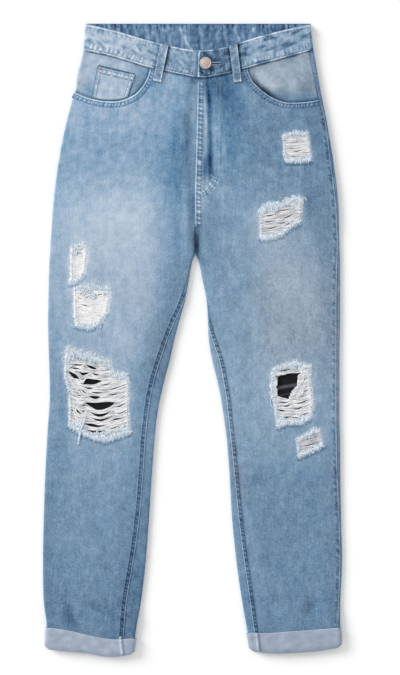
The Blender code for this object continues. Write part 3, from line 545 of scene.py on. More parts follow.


# ---- Wear, and painted light and shade ----
# How light the washed denim is down the middle of each leg, 0 black to 1 white.
WEAR_COLUMNS = ("drop", "right", "left")
WEAR_ROWS = (
    (40, 0.69, 0.56), (100, 0.675, 0.54), (150, 0.65, 0.525), (190, 0.62, 0.515),
    (235, 0.65, 0.545), (285, 0.715, 0.565), (330, 0.71, 0.58), (380, 0.69, 0.585),
    (430, 0.675, 0.59), (480, 0.645, 0.59), (540, 0.62, 0.605), (600, 0.63, 0.595),
    (650, 0.60, 0.545), (700, 0.565, 0.52), (760, 0.545, 0.51), (820, 0.525, 0.51),
    (880, 0.50, 0.50), (940, 0.49, 0.50),
)
# Fades and darker wear of the wash, with painted shade in the creases, the crotch valley and beside
# the fly's lap, and painted highlights along the fly's fold ridges.
WEAR_AND_PAINTED_LIGHT = bump_rows(
    (5.8, 331, 21, 4.2, 90, -0.40), (-3, 288, 62, 5, 90, -0.13), (-24, 246, 110, 13, 90, -0.15),
    (-48, 290, 120, 16, 88, -0.07), (30, 330, 70, 14, 84, -0.04), (204, 400, 110, 12, 90, -0.05),
    (-112, 300, 75, 46, 84, 0.035), (-60, 262, 50, 26, 80, 0.02), (-66, 84, 26, 20, 70, -0.10),
    (-30, 150, 80, 22, 88, -0.03), (-7, 170, 60, 6, 90, -0.11), (-135, 500, 70, 40, 90, 0.02),
    (-110, 470, 40, 22, 60, 0.03), (44, 96, 34, 22, 10, -0.17), (-197, 600, 70, 13, 90, -0.06),
    (38, 180, 54, 9, 86, 0.03), (1, 86, 7, 5, 80, -0.22), (1.5, 270, 36, 2.6, 91, -0.20),
    (18, 243, 15, 11, -20, 0.13), (14, 276, 16, 7, 95, 0.07), (20.5, 140, 42, 2.2, 88, 0.12),
    (36, 190, 60, 5, 86, 0.05), (60, 130, 26, 30, 60, -0.05), (24.5, 112, 26, 3.4, 84, -0.26),
    (27, 170, 40, 2.6, 87, -0.16), (26, 211, 26, 3.2, 88, -0.34), (19, 218, 19, 2.4, 92, -0.20),
    (20, 250, 16, 9, 90, -0.06), (19, 150, 70, 3.2, 89, 0.12), (38, 165, 46, 7, 88, 0.05),
    (46, 262, 52, 4, 91, 0.05), (24, 262, 20, 16, 0, 0.05), (80, 108, 30, 9, 60, 0.08),
    (104, 300, 42, 20, 40, 0.06), (132, 366, 82, 30, 62, 0.075), (120, 470, 70, 26, 80, 0.03),
    (104, 560, 60, 22, 90, 0.02), (120, 640, 40, 28, 20, 0.03), (178, 380, 70, 18, 88, 0.03),
    (178, 160, 70, 22, 84, -0.03), (178, 268, 26, 10, 86, -0.09), (190, 300, 60, 14, 88, -0.05),
    (-183, 888, 17, 8, 68, -0.14), (-132, 876, 22, 8, 20, -0.07), (178, 884, 20, 9, 94, -0.08),
    (118, 892, 14, 5, 80, -0.06), (50, 720, 130, 12, 80, 0.05), (86, 760, 120, 10, 78, 0.03),
)
TINTS = bump_rows(
    (56, 150, 100, 26, 88, 0.20), (26, 112, 40, 6, 86, 0.12), (27, 212, 30, 7, 88, 0.12),
    (140, 440, 135, 52, 88, -0.34), (190, 420, 90, 22, 90, -0.16), (216, 560, 300, 10, 90, -0.14),
    (-60, 470, 100, 20, 70, -0.13), (-100, 300, 60, 40, 90, -0.10),
    (-205, 250, 120, 12, 88, 0.10), (60, 640, 120, 14, 80, -0.12),
)
# Lighter patches on the facings, and painted shade just inside the pocket mouths' lower edges.
FACING_FADES_AND_SHADE = bump_rows(
    (106, 84, 32, 11, 26, 0.07), (150, 70, 30, 12, -8, 0.04), (172, 96, 34, 14, 84, -0.10),
    (138, 108, 30, 10, 8, -0.10), (-168, 78, 26, 7, 96, 0.05), (-120, 60, 34, 6, 14, 0.03),
    (-156, 100, 12, 8, 60, -0.10), (-79, 92, 20, 8, 120, -0.08),
)


def edges(outline: Outline) -> Iterable[Tuple[Point, Point]]:
    """Pair each corner of an outline with the next one, and the last with the first."""
    return zip(outline, list(outline[1:]) + [outline[0]])


def inside(outline: Outline, x: float, drop: float) -> bool:
    """Tell whether a place is in an outline, which a line from it then crosses an odd time."""
    return sum((ad > drop) != (bd > drop) and x < ax + (drop - ad) / (bd - ad) * (bx - ax)
               for (ax, ad), (bx, bd) in edges(outline)) % 2 == 1


def nearest(outline: Outline, x: float, drop: float) -> Tuple[float, float, float]:
    """Find the nearest place on an outline.

    Args:
        outline: its corners.
        x, drop: the place.

    Returns:
        The place's x and drop, and how far off it is.
    """
    best = (0.0, 0.0, 1e9)
    for (ax, ad), (bx, bd) in edges(outline):
        run_x, run_d = bx - ax, bd - ad
        share = ((x - ax) * run_x + (drop - ad) * run_d) / (run_x * run_x + run_d * run_d)
        share = min(1.0, max(0.0, share))
        near_x, near_d = ax + run_x * share, ad + run_d * share
        far = math.hypot(x - near_x, drop - near_d)
        if far < best[2]:
            best = (near_x, near_d, far)
    return best


def extent(outline: Outline) -> Tuple[float, float, float, float]:
    """Give an outline's least and greatest x, and then its least and greatest drop."""
    xs, drops = zip(*outline)
    return min(xs), max(xs), min(drops), max(drops)


def trace(points: Outline, step: float, closed: bool = False) -> List[Point]:
    """Run a smooth line through points.

    Args:
        points: the places that it passes.
        step: the distance between the places given back.
        closed: whether it comes back to its start.

    Returns:
        Places along the line.
    """
    knots = list(points)
    if closed:
        knots = [knots[-1]] + knots + knots[:2]
    else:
        knots = [knots[0]] + knots + [knots[-1]]
    fine: List[Point] = []
    for p, a, b, n in zip(knots, knots[1:], knots[2:], knots[3:]):
        for i in range(12):
            t = i / 12
            fine.append(tuple(
                0.5 * (2 * a[k] + (b[k] - p[k]) * t
                       + (2 * p[k] - 5 * a[k] + 4 * b[k] - n[k]) * t * t
                       + (3 * a[k] - p[k] - 3 * b[k] + n[k]) * t ** 3) for k in (0, 1)))
    fine.append(fine[0] if closed else tuple(points[-1]))
    total = sum(math.dist(a, b) for a, b in zip(fine, fine[1:]))
    count = max(2, round(total / step))
    out, walked, at = [], 0.0, 0
    for i in range(count + (0 if closed else 1)):
        goal = total * i / count
        while at < len(fine) - 2 and walked + math.dist(fine[at], fine[at + 1]) < goal:
            walked += math.dist(fine[at], fine[at + 1])
            at += 1
        span = math.dist(fine[at], fine[at + 1]) or 1.0
        share = min(1.0, (goal - walked) / span)
        out.append((mix(fine[at][0], fine[at + 1][0], share),
                    mix(fine[at][1], fine[at + 1][1], share)))
    return out


def ragged(outline: Outline, seed: int, depth: float = 0.8) -> List[Point]:
    """Wear an outline's straight edges ragged.

    Args:
        outline: its corners.
        seed: picks the wear.
        depth: how far it goes in and out.

    Returns:
        The worn outline.
    """
    worn = []
    for (ax, ad), (bx, bd) in edges(outline):
        count = max(1, round(math.dist((ax, ad), (bx, bd)) / 2.2))
        for i in range(count):
            x, drop = mix(ax, bx, i / count), mix(ad, bd, i / count)
            worn.append((x + depth * wander(x, drop, 2.7, seed),
                         drop + depth * wander(x, drop, 2.7, seed + 9)))
    return worn


WORN = {name: ragged(outline, i) for i, (name, outline) in enumerate(RIPS.items())}


def rip_fray_and_shadow(leg_name: str, x: float, drop: float) -> float:
    """Give how a rip's frayed edge whitens the denim, and the painted shadow under its lower
    fringe.

    Args:
        leg_name: "right" or "left".
        x, drop: the place.

    Returns:
        The tone that it adds.
    """
    total = 0.0
    for name, outline in WORN.items():
        if not name.endswith(leg_name):
            continue
        low_x, high_x, low_d, high_d = extent(outline)
        if not (low_x - 14 < x < high_x + 14 and low_d - 14 < drop < high_d + 14):
            continue
        near_x, near_d, far = nearest(outline, x, drop)
        total += 0.26 * (1 - smooth(0.3, 3.6, far)) + 0.035 * (1 - smooth(2, 13, far))
        # Painted shadow on the denim just below the lower fringe.
        down = (drop - near_d) / max(far, 0.3)
        if down > 0.4:
            total -= 0.20 * smooth(1.8, 4.0, far) * (1 - smooth(4.5, 8, far)) * down
    return total


def denim_tint(x: float, drop: float) -> float:
    """Give how much bluer than usual the front is at a place."""
    hips = 0.15 * (1 - smooth(270, 390, drop)) * (1 - smooth(-30, 12, x))
    return hips + bumps(TINTS, x, drop) + 0.08 * wander(x, drop, 30, 41)


def denim_tone(leg: Leg, x: float, drop: float) -> float:
    """Give how light the front looks at a place: the denim's wash and wear, with painted shade and
    highlights.

    Args:
        leg: the side.
        x, drop: the place.

    Returns:
        The tone, 0 black to 1 white.
    """
    cut = leg.near(drop)
    tone = read(WEAR_ROWS, WEAR_COLUMNS, leg.name, drop)
    # The bumps add wear with painted shade and highlights; the rips whiten their frayed edges and
    # add the painted shadow under their fringes.
    tone += bumps(WEAR_AND_PAINTED_LIGHT, x, drop) + rip_fray_and_shadow(leg.name, x, drop) + 0.13 * denim_tint(x, drop)
    # Painted shade with darker wash: darker towards the folded edges, the centre and the crotch.
    from_outer, from_inner = abs(cut.outer - x), abs(cut.inner - x)
    if leg.right:
        tone -= 0.035 * (1 - smooth(8, 46, from_outer)) * smooth(210, 280, drop)
        depth = 0.16 * smooth(250, 400, drop) * (1 - 0.55 * smooth(480, 640, drop))
        tone -= depth * (1 - smooth(4, 68, from_inner))
        tone -= 0.04 * (1 - smooth(0, 50, from_inner)) * (1 - smooth(250, 330, drop))
    else:
        tone -= 0.05 * (1 - smooth(2, 20, from_outer))
        tone -= 0.10 * smooth(255, 320, drop) * (1 - smooth(350, 372, drop)) * (
            1 - smooth(3, 14, from_inner))
    tone += 0.026 * wander(x, drop, 24, 3) + 0.032 * wander(x, drop, 9, 4)
    # Painted shadow: a dark line just below the band's seam.
    below_band = drop - band_edge("seam", x)
    tone -= 0.22 * (1 - smooth(0.8, 3.4, below_band))
    hips = 1 - smooth(210, 340, drop)
    tone += 0.05 * hips * (wander(x, drop, 11, 31) + 0.8 * wander(x, drop, 5, 32))
    tone += 0.07 * streaks(x, drop, 26, 4, 88, 33) * bell(x - 40, 26) * hips
    return tone


# ---- Finishes ----
def linear(colour: Colour) -> Tuple[float, ...]:
    """Turn a colour as a screen shows it, from 0 to 255, into a linear one with full alpha."""
    values = [v / 255 for v in colour]
    return (*(v / 12.92 if v <= 0.04045 else ((v + 0.055) / 1.055) ** 2.4 for v in values), 1.0)


class Shader:
    """The nodes of one procedural material."""

    def __init__(self, name: str) -> None:
        """Start from an empty Principled material.

        Args:
            name: the material's name.
        """
        self.material = bpy.data.materials.new(name)
        self.material.use_nodes = True
        self.tree = self.material.node_tree
        self.base = self.tree.nodes["Principled BSDF"]

    def feed(self, node: bpy.types.Node, values: Values) -> None:
        """Fill a node's inputs.

        Args:
            node: the node.
            values: for each input its number, or the socket that gives it.
        """
        for key, value in values.items():
            if isinstance(value, Socket):
                self.tree.links.new(value, node.inputs[key])
            else:
                node.inputs[key].default_value = value

    def add(self, kind: str, out: str, values: Values, **settings: object) -> Socket:
        """Add a node.

        Args:
            kind: the node's type.
            out: the output that is used.
            values: what its inputs hold.
            settings: its properties.

        Returns:
            The output's socket.
        """
        node = self.tree.nodes.new(kind)
        for key, value in settings.items():
            setattr(node, key, value)
        self.feed(node, values)
        return node.outputs[out]

    def attribute(self, name: str) -> Socket:
        """Read an attribute of the points."""
        return self.add("ShaderNodeAttribute", "Fac", {}, attribute_name=name)

    def math(self, operation: str, *inputs: object) -> Socket:
        """Add a sum of numbers and sockets."""
        return self.add("ShaderNodeMath", "Value", dict(enumerate(inputs)), operation=operation)

    def noise(self, scale: Sequence[float], detail: float) -> Socket:
        """Add a noise in the object's own coordinates.

        Args:
            scale: how many waves to a metre, along x, y and z.
            detail: how many finer layers it has.

        Returns:
            The noise's value.
        """
        place = self.add("ShaderNodeTexCoord", "Object", {})
        stretched = self.add("ShaderNodeMapping", "Vector", {"Scale": scale, "Vector": place})
        return self.add("ShaderNodeTexNoise", "Fac", {
            "Scale": 1.0, "Detail": detail, "Vector": stretched})

    def total(self, base: Socket, parts: Sequence[Tuple[Socket, float]]) -> Socket:
        """Add weighted values, each counted from its middle, less where the base is light.

        Args:
            base: the value that they are added to.
            parts: pairs of a value and its weight.

        Returns:
            The sum.
        """
        fade = self.math("MULTIPLY_ADD", base, -2.0, 2.05)
        for value, weight in parts:
            centred = self.math("MULTIPLY_ADD", value, weight, -weight / 2)
            base = self.math("MULTIPLY_ADD", centred, fade, base)
        return base

    def ramp(self, value: Socket, stops: Stops) -> None:
        """Colour the surface by a value, and by each point's own tint.

        Args:
            value: from 0 to 1.
            stops: places on the ramp and their colours.
        """
        colour = self.add("ShaderNodeValToRGB", "Color", {"Fac": value})
        elements = colour.node.color_ramp.elements
        elements[0].position, elements[0].color = stops[0][0], linear(stops[0][1])
        elements[1].position, elements[1].color = stops[-1][0], linear(stops[-1][1])
        for place, stop in stops[1:-1]:
            elements.new(place).color = linear(stop)
        bluer = self.math("ADD", self.attribute("tint"), 1.0)
        dyed = self.add("ShaderNodeHueSaturation", "Color", {"Saturation": bluer, "Color": colour})
        self.feed(self.base, {"Base Color": dyed})

    def bump(self, height: Socket, strength: float, distance: float) -> None:
        """Roughen the surface's normals.

        Args:
            height: the height's value.
            strength: from 0 to 1.
            distance: the height in metres.
        """
        self.feed(self.base, {"Normal": self.add("ShaderNodeBump", "Normal", {
            "Strength": strength, "Distance": distance, "Height": height})})


DENIM_STOPS = (
    (0.00, (6, 10, 18)), (0.20, (36, 56, 82)), (0.35, (66, 94, 123)), (0.45, (89, 118, 146)),
    (0.55, (112, 141, 167)), (0.62, (132, 158, 182)), (0.68, (152, 172, 193)),
    (0.75, (174, 190, 206)), (0.85, (204, 214, 226)), (1.00, (244, 246, 250)),
)
REVERSE_STOPS = (
    (0.00, (20, 24, 32)), (0.35, (84, 96, 112)), (0.55, (132, 144, 160)),
    (0.65, (155, 167, 184)), (0.75, (184, 193, 207)), (1.00, (245, 246, 248)),
)
DARK_STOPS = ((0.0, (4, 5, 8)), (0.12, (18, 22, 30)), (0.35, (84, 88, 94)), (1.0, (200, 202, 204)))
THREAD_STOPS = ((0.0, (70, 76, 88)), (0.5, (168, 172, 180)), (0.8, (220, 221, 224)),
                (1.0, (246, 246, 246)))
FRINGE_STOPS = ((0.0, (66, 92, 120)), (0.5, (150, 174, 200)), (0.8, (205, 219, 232)),
                (1.0, (242, 246, 249)))
INDIGO_STOPS = (
    (0.00, (5, 10, 22)), (0.20, (34, 54, 82)), (0.35, (62, 92, 124)), (0.45, (84, 116, 149)),
    (0.55, (110, 141, 170)), (0.68, (152, 173, 196)), (0.80, (190, 203, 219)),
    (1.00, (242, 245, 250)),
)


@dataclass(frozen=True)
class WovenFinish:
    """A matt cloth coloured by its own wear, with a fine grain."""

    name: str
    stops: Stops
    grain: float = 0.24
    cloud: float = 0.12
    streak: float = 0.12
    roughness: float = 0.92
    sheen: float = 0.08
    weave: float = 0.35
    level: float = 0.0

    def make(self) -> bpy.types.Material:
        """Make the material.

        Returns:
            The material, reading the "tone" of each point on top of its own level.
        """
        shader = Shader(self.name)
        grain = shader.noise((420, 420, 420), 3.0)
        cloud = shader.noise((95, 70, 90), 3.0)
        streak = shader.noise((520, 48, 60), 2.0)
        raised = shader.math("ADD", shader.attribute("tone"), self.level)
        value = shader.total(raised, (
            (grain, self.grain), (cloud, self.cloud), (streak, self.streak)))
        shader.ramp(value, self.stops)
        shader.bump(grain, self.weave, 0.0004)
        shader.feed(shader.base, {"Roughness": self.roughness, "Specular IOR Level": 0.18,
                                  "Sheen Weight": self.sheen, "Sheen Roughness": 0.6})
        return shader.material


@dataclass(frozen=True)
class MetalFinish:
    """A dull rolled metal."""

    name: str
    colour: Colour
    roughness: float = 0.5

    def make(self) -> bpy.types.Material:
        """Make the material.

        Returns:
            The material.
        """
        shader = Shader(self.name)
        shade = shader.noise((300, 300, 300), 2.0)
        shader.ramp(shade, ((0.2, tuple(c * 0.93 for c in self.colour)), (0.8, self.colour)))
        shader.feed(shader.base, {"Metallic": 0.35, "Roughness": self.roughness})
        return shader.material


class Finishes(Enum):
    """The finishes that the pieces take."""

    DENIM = WovenFinish("worn_denim", DENIM_STOPS, grain=0.28, cloud=0.16)
    BAND = WovenFinish("band_denim", DENIM_STOPS, cloud=0.26, streak=0.10)
    INSIDE = WovenFinish("band_inside", INDIGO_STOPS, grain=0.24, cloud=0.26, streak=0.2)
    PALE = WovenFinish("pale_denim", DENIM_STOPS, grain=0.14, cloud=0.12, streak=0.04)
    REVERSE = WovenFinish("reverse_denim", REVERSE_STOPS, grain=0.1, cloud=0.07, streak=0.05)
    DARK = WovenFinish("knee_cloth", DARK_STOPS, grain=0.04, cloud=0.02, streak=0.0)
    THREAD = WovenFinish("cotton_threads", THREAD_STOPS, grain=0.10, cloud=0.08, streak=0.0,
                         weave=0.1)
    FRINGE = WovenFinish("frayed_yarns", FRINGE_STOPS, grain=0.10, cloud=0.08, streak=0.0,
                         weave=0.1)
    COTTON = WovenFinish("pocket_cotton", THREAD_STOPS, grain=0.1, cloud=0.1, streak=0.1,
                         level=0.8)
    TACK = WovenFinish("bar_tack", ((0.0, (120, 90, 108)), (1.0, (226, 196, 206))), grain=0.1)
    SHIELD = WovenFinish("shield_denim", DENIM_STOPS, level=0.45)
    BUTTON = MetalFinish("button_metal", (196, 184, 175))


@lru_cache(maxsize=None)
def finish(kind: Finishes) -> bpy.types.Material:
    """Give a finish's material, made once."""
    return kind.value.make()


# ---- Weaving ----
class Spot(NamedTuple):
    """A place of the cloth in millimetres, its tone and how much bluer than usual it is."""

    x: float
    drop: float
    z: float
    tone: float
    tint: float = 0.0


class Weave:
    """A fine grid of cloth, laid point by point."""

    def __init__(self, across: int, down: int, put: Callable[[float, float], Spot]) -> None:
        """Weave the grid and lay its points.

        Args:
            across: how many steps it has across.
            down: how many it has down.
            put: gives the spot of a share across and a share down.
        """
        self.mesh = bmesh.new()
        bmesh.ops.create_grid(self.mesh, x_segments=across, y_segments=down, size=0.5)
        tone = self.mesh.verts.layers.float.new("tone")
        tint = self.mesh.verts.layers.float.new("tint")
        self.spots: Dict[bmesh.types.BMVert, Spot] = {}
        for vert in self.mesh.verts:
            spot = put(vert.co.x + 0.5, 0.5 - vert.co.y)
            self.spots[vert] = spot
            vert[tone], vert[tint] = spot.tone, spot.tint
            vert.co = world(spot.x, spot.drop, spot.z)

    def open(self, outline: Outline, height: Surface, reach: float = 2.6) -> None:
        """Cut an opening and bring the cut edge onto its outline.

        Args:
            outline: the opening's corners.
            height: gives the cloth's height at a place.
            reach: how far an edge point may be moved.
        """
        gone = []
        for face in self.mesh.faces:
            x = sum(self.spots[v].x for v in face.verts) / len(face.verts)
            drop = sum(self.spots[v].drop for v in face.verts) / len(face.verts)
            if inside(outline, x, drop):
                gone.append(face)
        cut_verts = {v for face in gone for v in face.verts}
        bmesh.ops.delete(self.mesh, geom=gone, context="FACES")
        for vert in cut_verts:
            if not vert.is_valid or not vert.link_faces:
                continue
            spot = self.spots[vert]
            near_x, near_d, far = nearest(outline, spot.x, spot.drop)
            if far < reach:
                z = spot.z + height(near_x, near_d) - height(spot.x, spot.drop)
                self.spots[vert] = spot._replace(x=near_x, drop=near_d, z=z)
                vert.co = world(near_x, near_d, z)

    def finish(self, name: str, node: str, wall: float, kinds: Sequence[Finishes],
               slot: str = "denim", flat: int = 0) -> Piece:
        """Turn the grid into a piece of cloth, with its faces outwards.

        Args:
            name: the piece's name.
            node: the solid that it replaces, empty for none.
            wall: its thickness, 0 for none.
            kinds: the face's finish, and then the reverse's if it differs.
            slot: not used.
            flat: 1 or -1 if the piece only faces up or down, 0 if it goes round.

        Returns:
            The piece.
        """
        bmesh.ops.recalc_face_normals(self.mesh, faces=self.mesh.faces)
        lean = 0.0
        for face in self.mesh.faces:
            side = flat or (1 if face.calc_center_median().z > BAND_MIDDLE * MM else -1)
            lean += side * face.normal.z
        if lean < 0:
            bmesh.ops.reverse_faces(self.mesh, faces=self.mesh.faces)
        return joined(name, self.mesh, kinds, node, wall)


def joined(name: str, shape: bmesh.types.BMesh, kinds: Sequence[Finishes], node: str,
           wall: float = 0.0) -> Piece:
    """Make an object of a mesh and put it on the frame's body.

    Args:
        name: the object's name.
        shape: its mesh, which is freed.
        kinds: its finishes.
        node: the solid that it replaces, empty for none.
        wall: its thickness, 0 for none.

    Returns:
        The object.
    """
    data = bpy.data.meshes.new(name)
    shape.to_mesh(data)
    shape.free()
    data.shade_smooth()
    for kind in kinds:
        data.materials.append(finish(kind))
    made = bpy.data.objects.new(name, data)
    bpy.context.scene.collection.objects.link(made)
    if wall:
        shell = made.modifiers.new("wall", "SOLIDIFY")
        shell.thickness = wall * MM
        shell.offset = -1.0
        shell.material_offset = len(kinds) - 1
    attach(made, "root")
    if node:
        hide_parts(node)
    LOG.info("%s: %d points", name, len(data.vertices))
    return made


# ---- Panels ----
def band_seam(x: float, z: float) -> float:
    """Place the waistband's seam, which differs between the front and the back."""
    return GAP + (band_edge("seam", x) if z > SEAT_LIFT + FLAT_HEIGHT / 3 else BAND_SIDE)


@dataclass
class Panel:
    """A piece that goes round a leg's section.

    The runs are counted from half-way up the outer fold; over is 1 when they go over
    the front and -1 when they go under the back.
    """

    leg: Leg
    over: int
    rows: int

    def skin(self, cut: Section, run: float, drop_of: Surface,
             grow: float = 0.0) -> Tuple[float, float, float, bool]:
        """Find a point of the leg's outer face, folds and all.

        Args:
            cut: the leg's section.
            run: how far round it is.
            drop_of: gives the real drop of a place's x and z.
            grow: how far outside the face.

        Returns:
            Its x, drop and height, and whether it lies on the front.
        """
        over = self.over
        if run < 0:
            run, over = -run, -over
        elif cut.below and run > cut.length:
            run, over = 2 * cut.length - run, -over
        x, z = cut.around(run, over, grow)
        drop = drop_of(x, z)
        if over > 0:
            turn = min(run, cut.length - run if cut.below else cut.quarter) / cut.radius
            rise = self.leg.relief(x, drop) * math.sin(min(math.pi / 2, max(0.0, turn))) ** 2
            return x, drop, z + rise, True
        if not cut.below:
            from_centre = abs(cut.inner - x)
            z += CROTCH_RISE * smooth(314, CROTCH, cut.drop) * math.exp(-from_centre / 6.0)
        return x, drop, z, False

    def tone(self, x: float, drop: float, front: bool) -> float:
        """Give the tone of the denim.

        Args:
            x, drop: the place.
            front: whether it lies on the front.

        Returns:
            The tone.
        """
        if front:
            return denim_tone(self.leg, x, drop)
        seat = Bump(96 * self.leg.sign, 250, 90, 56, 90, 0.07)
        return 0.55 + bumps((seat,), x, drop) + 0.02 * wander(x, drop, 24, 5)


@dataclass
class FrontPanel(Panel):
    """The front of one side, with its pocket mouth and rips cut out."""

    over: int = 1
    rows: int = 300
    flat_columns: int = 78
    fold_columns: int = 10

    def run(self, cut: Section, share: float) -> float:
        """Spread the columns over a row.

        Args:
            cut: the leg's section.
            share: the column's share across.

        Returns:
            Its run.
        """
        start = cut.outseam_run() + GAP / 2
        if cut.below:
            end = cut.length - cut.inseam_run() - GAP / 2
        else:
            end = cut.length - self.leg.sign * (lap_edge(cut.drop) - cut.inner)
            if self.leg.right:
                end += read(LAP_ROWS, LAP_COLUMNS, "under", cut.drop)
        if start > -cut.quarter:
            return mix(start, end, share)
        bend = self.fold_columns / (self.fold_columns + self.flat_columns)
        if share < bend:
            return mix(start, cut.quarter, share / bend)
        return mix(cut.quarter, end, (share - bend) / (1 - bend))

    def put(self, across: float, down: float) -> Spot:
        """Lay one point.

        Args:
            across: its share from the outseam to the centre.
            down: its share from the waist to the hem.

        Returns:
            Its spot.
        """
        nominal = mix(BAND_SIDE, HEM, down)
        cut = self.leg.cut(nominal)
        run = self.run(cut, across)

        def drop_of(x: float, z: float) -> float:
            shift = (band_seam(x, z) - BAND_SIDE) * (1 - smooth(BAND_SIDE, 240, nominal))
            return nominal + shift + self.leg.hem_shift(x, nominal)

        x, drop, z, _ = self.skin(cut, run, drop_of)
        if self.leg.right and not cut.below:
            under = 1 - smooth(2, 14, lap_edge(nominal) - x)
            z -= (DENIM + GAP) * under * (1 - smooth(318, CROTCH, nominal))
        return Spot(x, drop, z, self.tone(x, drop, True), denim_tint(x, drop))

    def build(self) -> Piece:
        """Weave the panel and cut its openings.

        Returns:
            The piece.
        """
        side = self.leg.name
        weave = Weave(self.flat_columns + self.fold_columns, self.rows, self.put)
        weave.open(POCKET_MOUTHS[side], self.leg.front)
        for name, outline in WORN.items():
            if name.endswith(side):
                weave.open(outline, self.leg.front)
        return weave.finish("front_panel_" + side, "front_" + side, DENIM,
                            [Finishes.DENIM, Finishes.REVERSE])


@dataclass
class BackPanel(Panel):
    """The back of one side; it comes round the folds up to the seams on the front."""

    over: int = -1
    rows: int = 160
    yoke: bool = False

    def put(self, across: float, down: float) -> Spot:
        """Lay one point.

        Args:
            across: its share from the outseam to the centre or the inseam.
            down: its share from the top to the bottom.

        Returns:
            Its spot.
        """
        nominal = mix(BAND_SIDE, YOKE_SIDE, down) if self.yoke else mix(YOKE_SIDE, HEM, down)
        cut = self.leg.cut(nominal)
        start = -cut.outseam_run() + GAP / 2
        end = cut.length - GAP / 2 + (cut.inseam_run() if cut.below else 0.0)
        corner = max(cut.quarter, start + 6)
        flat_end = cut.length - cut.quarter if cut.below else end - 8
        if across < 0.2:
            run = mix(start, corner, across / 0.2)
        elif across < 0.7:
            run = mix(corner, flat_end, (across - 0.2) / 0.5)
        else:
            run = mix(flat_end, end, (across - 0.7) / 0.3)

        def drop_of(x: float, z: float) -> float:
            if self.yoke:
                return mix(band_seam(x, z), yoke_seam(x) - GAP / 2, down)
            shift = (yoke_seam(x) + GAP / 2 - YOKE_SIDE) * (1 - smooth(YOKE_SIDE, 240, nominal))
            return nominal + shift + self.leg.hem_shift(x, nominal)

        x, drop, z, front = self.skin(cut, run, drop_of)
        return Spot(x, drop, z, self.tone(x, drop, front), denim_tint(x, drop) if front else 0.0)

    def build(self) -> Piece:
        """Weave the panel or the yoke.

        Returns:
            The piece.
        """
        kind, rows = ("yoke_", 14) if self.yoke else ("back_", self.rows)
        return Weave(64, rows, self.put).finish(
            kind + "panel_" + self.leg.name, kind + self.leg.name, DENIM,
            [Finishes.DENIM, Finishes.REVERSE])


# ---- Waistband ----
BAND_TONE_COLUMNS = ("x", "tone")
BAND_TONE_ROWS = (
    (-165, 0.70), (-110, 0.695), (-72, 0.68), (-50, 0.61), (-20, 0.605), (4, 0.61), (8, 0.48),
    (30, 0.45), (52, 0.44), (70, 0.53), (92, 0.61), (125, 0.61), (160, 0.58), (185, 0.58),
)


